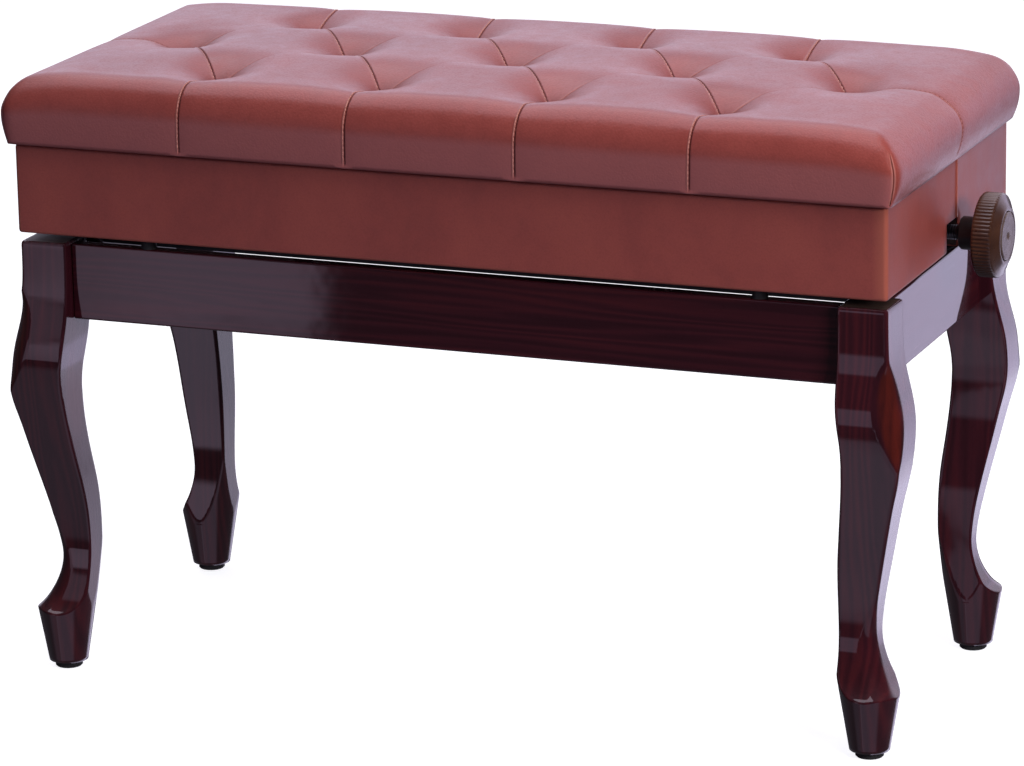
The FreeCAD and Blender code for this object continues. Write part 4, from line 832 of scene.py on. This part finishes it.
def fill_cover():
    """Blow the cover up over its padding: cloth held at the tufts and the hem, pressed out from inside."""
    us, vs = layout_lines(6.6)
    gu, gv = np.meshgrid(us, vs, indexing="ij")
    start = sheet_point(gu.ravel(), gv.ravel())[0]
    inside = (np.abs(gu) <= HX + 0.01) | (np.abs(gv) <= HY + 0.01)
    cells = lattice(len(us), len(vs))
    cells = cells[inside.ravel()[cells].all(1)]
    # Leave out the four cells' blocks beyond the corners, and close the border's ends.
    mid_u, mid_v = np.abs(gu.ravel()[cells].mean(1)), np.abs(gv.ravel()[cells].mean(1))
    cells = cells[~((mid_u > HX) & (mid_v > HY))]
    used, index = np.unique(cells, return_inverse=True)
    key = {}
    merged = np.zeros(len(used), int)
    points = []
    for k, g in enumerate(used):
        tag = tuple(np.round(start[g], 1))
        if tag not in key:
            key[tag] = len(points)
            points.append(start[g])
        merged[k] = key[tag]
    points = np.array(points)
    faces = [list(dict.fromkeys(f)) for f in merged[index.reshape(cells.shape)].tolist()]
    mesh = bpy.data.meshes.new("cover_cloth")
    mesh.from_pydata((points * MM).tolist(), [], [f for f in faces if len(f) > 2])
    mesh.update()
    cover = bpy.data.objects.new("cover_cloth", mesh)
    scene.collection.objects.link(cover)
    fu, fv = gu.ravel()[used], gv.ravel()[used]
    near = np.min([np.hypot(fu - x, fv - y) for x, y in TUFTS.values()], axis=0)
    fall = np.maximum(np.abs(fu) - HX, 0) + np.maximum(np.abs(fv) - HY, 0)
    hold = np.maximum(1 - smooth_step(near, 6.0, 16.0), smooth_step(fall, DROP - 12.0, DROP - 2.0))
    group = cover.vertex_groups.new(name="held")
    for k in range(len(used)):
        group.add([int(merged[k])], float(hold[k]), "REPLACE")
    cloth = cover.modifiers.new("cover", "CLOTH")
    set_up = cloth.settings
    set_up.quality = 6
    set_up.mass = 0.25
    set_up.tension_stiffness = set_up.compression_stiffness = 40.0
    set_up.shear_stiffness = 20.0
    set_up.bending_stiffness = 25.0
    set_up.air_damping = 4.0
    set_up.use_pressure = True
    set_up.uniform_pressure_force = 4.0
    set_up.vertex_group_mass = "held"
    set_up.effector_weights.gravity = 0.0
    cloth.point_cache.frame_start, cloth.point_cache.frame_end = 1, 20
    for frame_number in range(1, 21):
        scene.frame_set(frame_number)
    done = cover.evaluated_get(bpy.context.evaluated_depsgraph_get())
    moved = np.zeros(len(points) * 3)
    done.data.vertices.foreach_get("co", moved)
    moved = moved.reshape(-1, 3) / MM - points
    scene.frame_set(1)
    bpy.data.objects.remove(cover, do_unlink=True)
    # The filling lets no point go further than a few millimetres.
    far = np.linalg.norm(moved, axis=1, keepdims=True)
    moved *= CAP * np.tanh(far / CAP) / np.maximum(far, 1e-9)
    field = np.full((len(us) * len(vs), 3), np.nan)
    field[used] = moved[merged]
    field = field.reshape(len(us), len(vs), 3)
    inner_u, inner_v = np.abs(us) <= HX + 0.01, np.abs(vs) <= HY + 0.01
    for i in np.nonzero(~inner_u)[0]:
        for j in np.nonzero(~inner_v)[0]:
            ci = np.argmax(inner_u) if us[i] < 0 else len(us) - 1 - np.argmax(inner_u[::-1])
            cj = np.argmax(inner_v) if vs[j] < 0 else len(vs) - 1 - np.argmax(inner_v[::-1])
            field[i, j] = field[ci, cj]
    # Even the cells out: read the field on lines three times as close and soften it.
    fine_u, fine_v = (np.interp(np.arange(3 * len(g) - 2) / 3, np.arange(len(g)), g) for g in (us, vs))
    for axis, old, new in ((0, us, fine_u), (1, vs, fine_v)):
        field = np.apply_along_axis(lambda line: np.interp(new, old, line), axis, field)
        for _ in range(8):
            ends = [(0, 0)] * 3
            ends[axis] = (2, 2)
            wide = np.pad(field, ends, mode="edge")
            n = field.shape[axis]
            field = sum(w * np.take(wide, np.arange(k, k + n), axis) for k, w in enumerate((1 / 16, 4 / 16, 6 / 16, 4 / 16, 1 / 16)))
    swell_maps.update(u=fine_u, v=fine_v, field=field)


CAP = 1.8


def swell(u, v):
    """How far the simulated cover moved from the plain form, read at (u, v)."""
    if not swell_maps:
        return np.zeros(u.shape + (3,))
    us, vs, field = swell_maps["u"], swell_maps["v"], swell_maps["field"]
    fu = np.clip(np.interp(u, us, np.arange(len(us))), 0, len(us) - 1.001)
    fv = np.clip(np.interp(v, vs, np.arange(len(vs))), 0, len(vs) - 1.001)
    i, j = fu.astype(int), fv.astype(int)
    a, b = (fu - i)[..., None], (fv - j)[..., None]
    return (field[i, j] * (1 - a) * (1 - b) + field[i + 1, j] * a * (1 - b) + field[i, j + 1] * (1 - a) * b
            + field[i + 1, j + 1] * a * b)


def sheet_point(u, v):
    p, n = padding(u, v)
    depth, welt, deep = cover_relief(u, v)
    return p - n * depth[..., None] + swell(u, v), n, welt, deep


def seam_paths():
    return [(TUFTS[a], TUFTS[b]) for a, b in STRONG] + [(a, b) for a, b, hand in EDGE_SEAMS]


def layout_lines(step):
    def lines(half, drop):
        inner = np.linspace(-half, half, int(round(2 * half / step)) + 1)
        border = np.linspace(0, drop, int(round(drop / step)) + 1)[1:]
        return np.concatenate([-half - border[::-1], inner, half + border])

    return lines(HX, DROP), lines(HY, DROP)


def flat_layout(step):
    """The cover's flat layout as a mesh: an even cross of quads, made finer along the seams later by refine."""
    us, vs = layout_lines(step)
    bm = bmesh.new()
    ids = {}

    def vert(i, j):
        if (i, j) not in ids:
            ids[i, j] = bm.verts.new((us[i], vs[j], 0.0))
        return ids[i, j]

    for i in range(len(us) - 1):
        for j in range(len(vs) - 1):
            cu, cv = (us[i] + us[i + 1]) / 2, (vs[j] + vs[j + 1]) / 2
            if abs(cu) > HX and abs(cv) > HY:
                continue
            bm.faces.new([vert(i, j), vert(i + 1, j), vert(i + 1, j + 1), vert(i, j + 1)])
    return bm


def refine(bm, reach):
    """One more halving of the quads that lie within reach of a seam."""
    bm.verts.index_update()
    centre = np.array([f.calc_center_median()[:2] for f in bm.faces])
    u, v = centre[:, 0], centre[:, 1]
    near = np.full(len(u), 1e9)
    for a, b in seam_paths() + ([(TUFTS[a], TUFTS[b]) for a, b in WEAK] if reach > 3.0 else []):
        near = np.minimum(near, along_segment(u, v, a, b)[1])
    fall = np.maximum(np.abs(u) - HX, 0) + np.maximum(np.abs(v) - HY, 0)
    q = np.where(np.abs(v) > HY, HX - np.abs(u), np.where(np.abs(u) > HX, HY - np.abs(v), 99.0))
    near = np.minimum(near, np.where(fall > 0, q, 99.0))
    bm.faces.ensure_lookup_table()
    edges = {e for k in np.nonzero(near < reach)[0] for e in bm.faces[int(k)].edges}
    bmesh.ops.subdivide_edges(bm, edges=list(edges), cuts=1, use_grid_fill=True)


def cushion():
    bm = flat_layout(3.2)
    refine(bm, 7.0)
    refine(bm, 4.2)
    refine(bm, 2.2)
    flat = np.array([v.co[:2] for v in bm.verts])
    p, n, welt, deep = sheet_point(flat[:, 0], flat[:, 1])
    for v, c in zip(bm.verts, p * MM):
        v.co = c
    w_layer = bm.verts.layers.float.new("welt")
    d_layer = bm.verts.layers.float.new("deep")
    b_layer = bm.verts.layers.float.new("border")
    # Mask of the lower long borders, used for the painted reflection of the floor in the seat leather.
    border = smooth_step(np.abs(flat[:, 1]) - HY, 25.0, 33.0)
    for k, v in enumerate(bm.verts):
        v[w_layer] = float(welt[k])
        v[d_layer] = float(deep[k])
        v[b_layer] = float(border[k])
    bmesh.ops.remove_doubles(bm, verts=bm.verts[:], dist=0.03 * MM)
    # The cover turns under the board as a hem and ends at the dust cloth.
    rim = [e for e in bm.edges if e.is_boundary]
    for inset_x, inset_y, z in ((376.6, 167.2, 453.8), (374.5, 165.0, 454.0), (362.0, 152.0, 454.0), (346.4, 137.4, 454.0),
                                (346.0, 137.0, 455.1)):
        made = bmesh.ops.extrude_edge_only(bm, edges=rim)["geom"]
        ring = [g for g in made if isinstance(g, bmesh.types.BMVert)]
        rim = [g for g in made if isinstance(g, bmesh.types.BMEdge)]
        far_x = max(abs(v.co.x) for v in ring)
        far_y = max(abs(v.co.y) for v in ring)
        for v in ring:
            v.co.x *= min(1.0, inset_x * MM / far_x)
            v.co.y *= min(1.0, inset_y * MM / far_y)
            v.co.z = z * MM
            v[w_layer] = 0.0
            v[d_layer] = 0.0
    bmesh.ops.edgeloop_fill(bm, edges=rim)
    # The hem is drawn up over the two hinge knuckles at the back.
    for v in bm.verts:
        x, y, z = (c / MM for c in v.co)
        if y > 160.0 and z < 463.0:
            over = 1 - float(smooth_step(abs(abs(x) - 240.0), 31.5, 36.5))
            v.co.z += 2.1 * MM * over * min(1.0, (463.0 - z) / 9.7)
    bmesh.ops.recalc_face_normals(bm, faces=bm.faces[:])
    mesh = bpy.data.meshes.new("tufted_cushion")
    bm.to_mesh(mesh)
    bm.free()
    obj = finish_mesh("tufted_cushion", mesh, L["seat_leather"], "lid", ["seat_cover", "seat_foam"])
    return obj


def stitches():
    """Sewn thread along every seam: one short capsule to a stitch, laid in the groove."""
    ring, rows = 6, 5
    verts, faces = [], []
    base = []
    for k in range(rows):
        t = -1 + 2 * k / (rows - 1)
        base.append((t, math.sqrt(max(0.0, 1 - t * t)) * 0.9 + 0.1))
    quads = lattice(rows, ring, True)
    lines = [(TUFTS[a], TUFTS[b], -1.0) for a, b in STRONG] + EDGE_SEAMS
    for a, b, hand in lines:
        long = math.hypot(b[0] - a[0], b[1] - a[1])
        dx, dy = (b[0] - a[0]) / long, (b[1] - a[1]) / long
        off = 0.75 * hand
        count = int((long - 12) / STITCH)
        s = 6 + (np.arange(count) + 0.5) * (long - 12) / count
        if abs(b[0]) > HX or abs(b[1]) > HY:
            s = s[s < long - 5]
        u, v = a[0] + s * dx - dy * off, a[1] + s * dy + dx * off
        here = sheet_point(u, v)[0]
        after = sheet_point(u + dx * 0.8, v + dy * 0.8)[0]
        aside_l = sheet_point(u - dy * 2.6, v + dx * 2.6)[0]
        aside_r = sheet_point(u + dy * 2.6, v - dx * 2.6)[0]
        t = after - here
        t /= np.linalg.norm(t, axis=1, keepdims=True)
        w = aside_l - aside_r
        w -= t * np.sum(w * t, 1, keepdims=True)
        w /= np.linalg.norm(w, axis=1, keepdims=True)
        n = np.cross(t, w)
        for k in range(len(s)):
            start = len(verts)
            centre = here[k] + n[k] * 0.1
            for lt, lr in base:
                for q in range(ring):
                    g = 2 * math.pi * q / ring
                    verts.append(centre + t[k] * lt * 1.75 + w[k] * math.cos(g) * lr * 0.36 + n[k] * math.sin(g) * lr * 0.32)
            faces += (quads + start).tolist()
            faces.append([start + q for q in range(ring)][::-1])
            faces.append([start + (rows - 1) * ring + q for q in range(ring)])
    return make("seat_stitching", verts, faces, L["thread"], "lid")


# ------------------------------------------------------------------ floor, light and camera
def stage():
    k = Look("pale_floor")
    k.set(Specular_IOR_Level=0.2, Emission_Color=(0.97, 0.97, 1.0), Emission_Strength=0.9)
    tone = k.ramp(k.noise(3.0, 3.0), [(0.3, (0.4, 0.4, 0.41)), (0.7, (0.43, 0.43, 0.44))])
    look = k.done(tone, k.span(k.noise(40.0), 0.3, 0.7, 0.7, 0.85))
    n = 9
    g = np.linspace(-9000.0, 9000.0, n)
    p = np.array([(x, y, -0.02) for y in g for x in g])
    mesh = bpy.data.meshes.new("studio_floor")
    mesh.from_pydata((p * MM).tolist(), [], lattice(n, n).tolist())
    mesh.materials.append(look)
    floor = bpy.data.objects.new("studio_floor", mesh)
    scene.collection.objects.link(floor)
    floor.visible_glossy = False
    floor.visible_diffuse = False


def world():
    w = bpy.data.worlds.new("studio")
    w.use_nodes = True
    scene.world = w
    tree = w.node_tree
    back = tree.nodes["Background"]
    coords = tree.nodes.new("ShaderNodeTexCoord")

    def lobe(direction, low, high):
        d = tree.nodes.new("ShaderNodeVectorMath")
        d.operation = "DOT_PRODUCT"
        d.inputs[1].default_value = Vector(direction).normalized()
        tree.links.new(coords.outputs["Generated"], d.inputs[0])
        m = tree.nodes.new("ShaderNodeMapRange")
        m.interpolation_type = "SMOOTHSTEP"
        m.inputs["From Min"].default_value = low
        m.inputs["From Max"].default_value = high
        tree.links.new(d.outputs["Value"], m.inputs["Value"])
        return m.outputs["Result"]

    def mix(share, a, b, kind="MIX"):
        n = tree.nodes.new("ShaderNodeMix")
        n.data_type = "RGBA"
        n.blend_type = kind
        tree.links.new(share, n.inputs["Factor"])
        for key, v in (("A", a), ("B", b)):
            s = next(i for i in n.inputs if i.name == key and i.type == "RGBA")
            if isinstance(v, tuple):
                s.default_value = (*v, 1.0)
            else:
                tree.links.new(v, s)
        return next(o for o in n.outputs if o.type == "RGBA")

    def spread(value, low, high, to_low=0.0, to_high=1.0):
        m = tree.nodes.new("ShaderNodeMapRange")
        m.interpolation_type = "SMOOTHSTEP"
        for key, v in (("From Min", low), ("From Max", high), ("To Min", to_low), ("To Max", to_high)):
            m.inputs[key].default_value = v
        tree.links.new(value, m.inputs["Value"])
        return m.outputs["Result"]

    def times(*values):
        out = values[0]
        for v in values[1:]:
            n = tree.nodes.new("ShaderNodeMath")
            n.operation = "MULTIPLY"
            tree.links.new(out, n.inputs[0])
            tree.links.new(v, n.inputs[1])
            out = n.outputs["Value"]
        return out

    def dot(vector, direction):
        d = tree.nodes.new("ShaderNodeVectorMath")
        d.operation = "DOT_PRODUCT"
        d.inputs[1].default_value = direction
        tree.links.new(vector, d.inputs[0])
        return d.outputs["Value"]

    ray = coords.outputs["Generated"]
    level = tree.nodes.new("ShaderNodeVectorMath")
    level.operation = "MULTIPLY"
    level.inputs[1].default_value = (1, 1, 0)
    tree.links.new(ray, level.inputs[0])
    compass = tree.nodes.new("ShaderNodeVectorMath")
    compass.operation = "NORMALIZE"
    tree.links.new(level.outputs["Vector"], compass.inputs[0])
    compass = compass.outputs["Vector"]
    rise = dot(ray, (0, 0, 1))
    height = tree.nodes.new("ShaderNodeMapRange")
    height.inputs["From Min"].default_value = -1.0
    tree.links.new(rise, height.inputs["Value"])
    ramp = tree.nodes.new("ShaderNodeValToRGB")
    stops = [(0.5 + 0.5 * z, (v, 0.93 * v, 1.14 * v)) for z, v in
             ((-1, 0.12), (-0.5, 0.12), (-0.3, 0.05), (0.15, 0.05), (0.5, 0.05), (0.8, 0.1), (1, 0.2))]
    r = ramp.color_ramp
    while len(r.elements) < len(stops):
        r.elements.new(0.5)
    for e, (at, c) in zip(r.elements, stops):
        e.position = at
        e.color = (*c, 1.0)
    tree.links.new(height.outputs["Result"], ramp.inputs["Fac"])
    colour = ramp.outputs["Color"]
    # Pale floor ahead, pale screens at eye level, and a pale panel to the left with a straight edge.
    front = dot(compass, (0, -1, 0))
    leftward = dot(compass, (-1, 0, 0))
    colour = mix(times(spread(front, 0.45, 0.7), spread(rise, -0.33, -0.4), spread(rise, -0.85, -0.6), spread(leftward, 0.4, 0.43, 1.0, 0.5)),
                 colour, (0.5, 0.44, 0.6))
    colour = mix(times(spread(leftward, 0.315, 0.335), spread(leftward, 0.41, 0.39), spread(front, 0.7, 0.8), spread(rise, -0.33, -0.4),
                       spread(rise, -0.85, -0.6)), colour, (0.62, 0.55, 0.74))
    colour = mix(times(spread(leftward, 0.24, 0.25), spread(leftward, 0.287, 0.2835), spread(front, 0.7, 0.8), spread(rise, -0.13, -0.18),
                       spread(rise, -0.85, -0.6)), colour, (0.5, 0.44, 0.6))
    colour = mix(times(spread(leftward, 0.2835, 0.287), spread(leftward, 0.33, 0.318), spread(front, 0.7, 0.8), spread(rise, -0.15, -0.1),
                       spread(rise, 0.15, 0.115)), colour, (0.7, 0.6, 0.84))
    panel = times(spread(leftward, 0.4035, 0.41), spread(leftward, 0.66, 0.56), spread(front, 0.1, 0.3),
                  spread(rise, -0.268, -0.252), spread(rise, 0.12, 0.05), spread(leftward, 0.43, 0.47, 1.0, 0.6))
    colour = mix(panel, colour, (1.1, 0.88, 1.2))
    colour = mix(times(spread(leftward, 0.435, 0.445), spread(leftward, 0.56, 0.52), spread(front, 0.1, 0.3), spread(rise, 0.0, 0.05),
                       spread(rise, 0.75, 0.5)), colour, (0.55, 0.46, 0.62))
    # White sweep behind the bench, and low down on the knob's side.
    colour = mix(times(spread(dot(compass, (-0.1, 0.995, 0)), 0.6, 0.9), spread(rise, -0.1, 0.06), spread(rise, 0.9, 0.3)),
                 colour, (1.28, 1.2, 1.52))
    colour = mix(times(spread(dot(compass, (0.3, 0.954, 0)), 0.989, 0.9965), spread(rise, 0.25, 0.08)), colour,
                 (1.3, 1.18, 1.66))
    colour = mix(times(spread(dot(compass, (0.14, 0.99, 0)), 0.98, 0.989), spread(rise, -0.3, -0.34)), colour, (1.45, 1.35, 1.8))
    colour = mix(times(spread(dot(compass, (0.445, 0.8955, 0)), 0.9975, 0.9988), spread(rise, 0.25, 0.08)), colour, (1.0, 0.93, 1.22))
    tree.links.new(colour, back.inputs["Color"])
    back.inputs["Strength"].default_value = 1.0


def area(name, place, target, size, power, colour=(1, 1, 1)):
    data = bpy.data.lights.new(name, "AREA")
    data.shape = "RECTANGLE"
    data.size, data.size_y = size
    data.energy = power
    data.color = colour
    obj = bpy.data.objects.new(name, data)
    scene.collection.objects.link(obj)
    obj.location = place
    obj.rotation_mode = "QUATERNION"
    obj.rotation_quaternion = (Vector(target) - Vector(place)).to_track_quat("-Z", "Y")
    return obj


def lights():
    key = area("key_soft", (1.736, -1.064, 2.382), (0, 0, 0.45), (1.1, 1.1), 32, (1.0, 0.975, 0.96))
    high = area("key_high", (0.5, -0.3, 3.2), (0, 0, 0.45), (1.1, 1.1), 39, (1.0, 0.975, 0.96))
    low = area("key_low", (2.307, -1.413, 1.185), (0, 0, 0.45), (1.1, 0.5), 47, (1.0, 0.975, 0.96))
    high.visible_glossy = low.visible_glossy = False
    fill = area("fill_left", (-2.0, 0.9, 1.6), (0, 0, 0.35), (1.6, 1.6), 12, (0.97, 0.97, 1.0))
    over = area("panel_over", (-0.87, 0.55, 2.65), (-0.87, 0.55, 0), (2.4, 3.4), 60, (1.0, 0.94, 1.08))
    over.visible_diffuse = over.visible_camera = False
    key.visible_glossy = False
    fill.visible_glossy = False


def camera():
    data = bpy.data.cameras.new("camera")
    data.sensor_fit = "HORIZONTAL"
    data.sensor_width = 36.0
    data.lens = 180.07
    data.clip_start, data.clip_end = 0.05, 60.0
    cam = bpy.data.objects.new("camera", data)
    scene.collection.objects.link(cam)
    az, el, roll, dist = math.radians(21.80), math.radians(15.51), math.radians(-1.02), 4.250
    target = Vector((-0.0042, 0.0, 0.2377))
    back = Vector((math.sin(az) * math.cos(el), -math.cos(az) * math.cos(el), math.sin(el)))
    right = (-back).cross(Vector((0, 0, 1))).normalized()
    up = right.cross(-back)
    x = right * math.cos(roll) + up * math.sin(roll)
    y = -right * math.sin(roll) + up * math.cos(roll)
    m = Matrix((x, y, back)).transposed().to_4x4()
    m.translation = target + back * dist
    cam.matrix_world = m
    scene.camera = cam
    scene.view_settings.view_transform = "Standard"
    scene.view_settings.look = "None"


# ------------------------------------------------------------------ put it together
for entry in frame["record"]["subparts"]:
    look = L.get(entry["material_slot"])
    if entry["node"] in ("box_left", "box_right"):
        look = L["dark_board_y"]
    if entry["material_slot"] == "lacquered_wood":
        look = L["lacquer_z"]
    if look is None:
        look = L["seat_leather"]
    obj = nodes[entry["node"]]
    for slot in obj.material_slots:
        slot.material = look

stage()
world()
lights()
camera()
legs()
aprons()
box_wrap()
knob()
fill_cover()
cushion()
stitches()
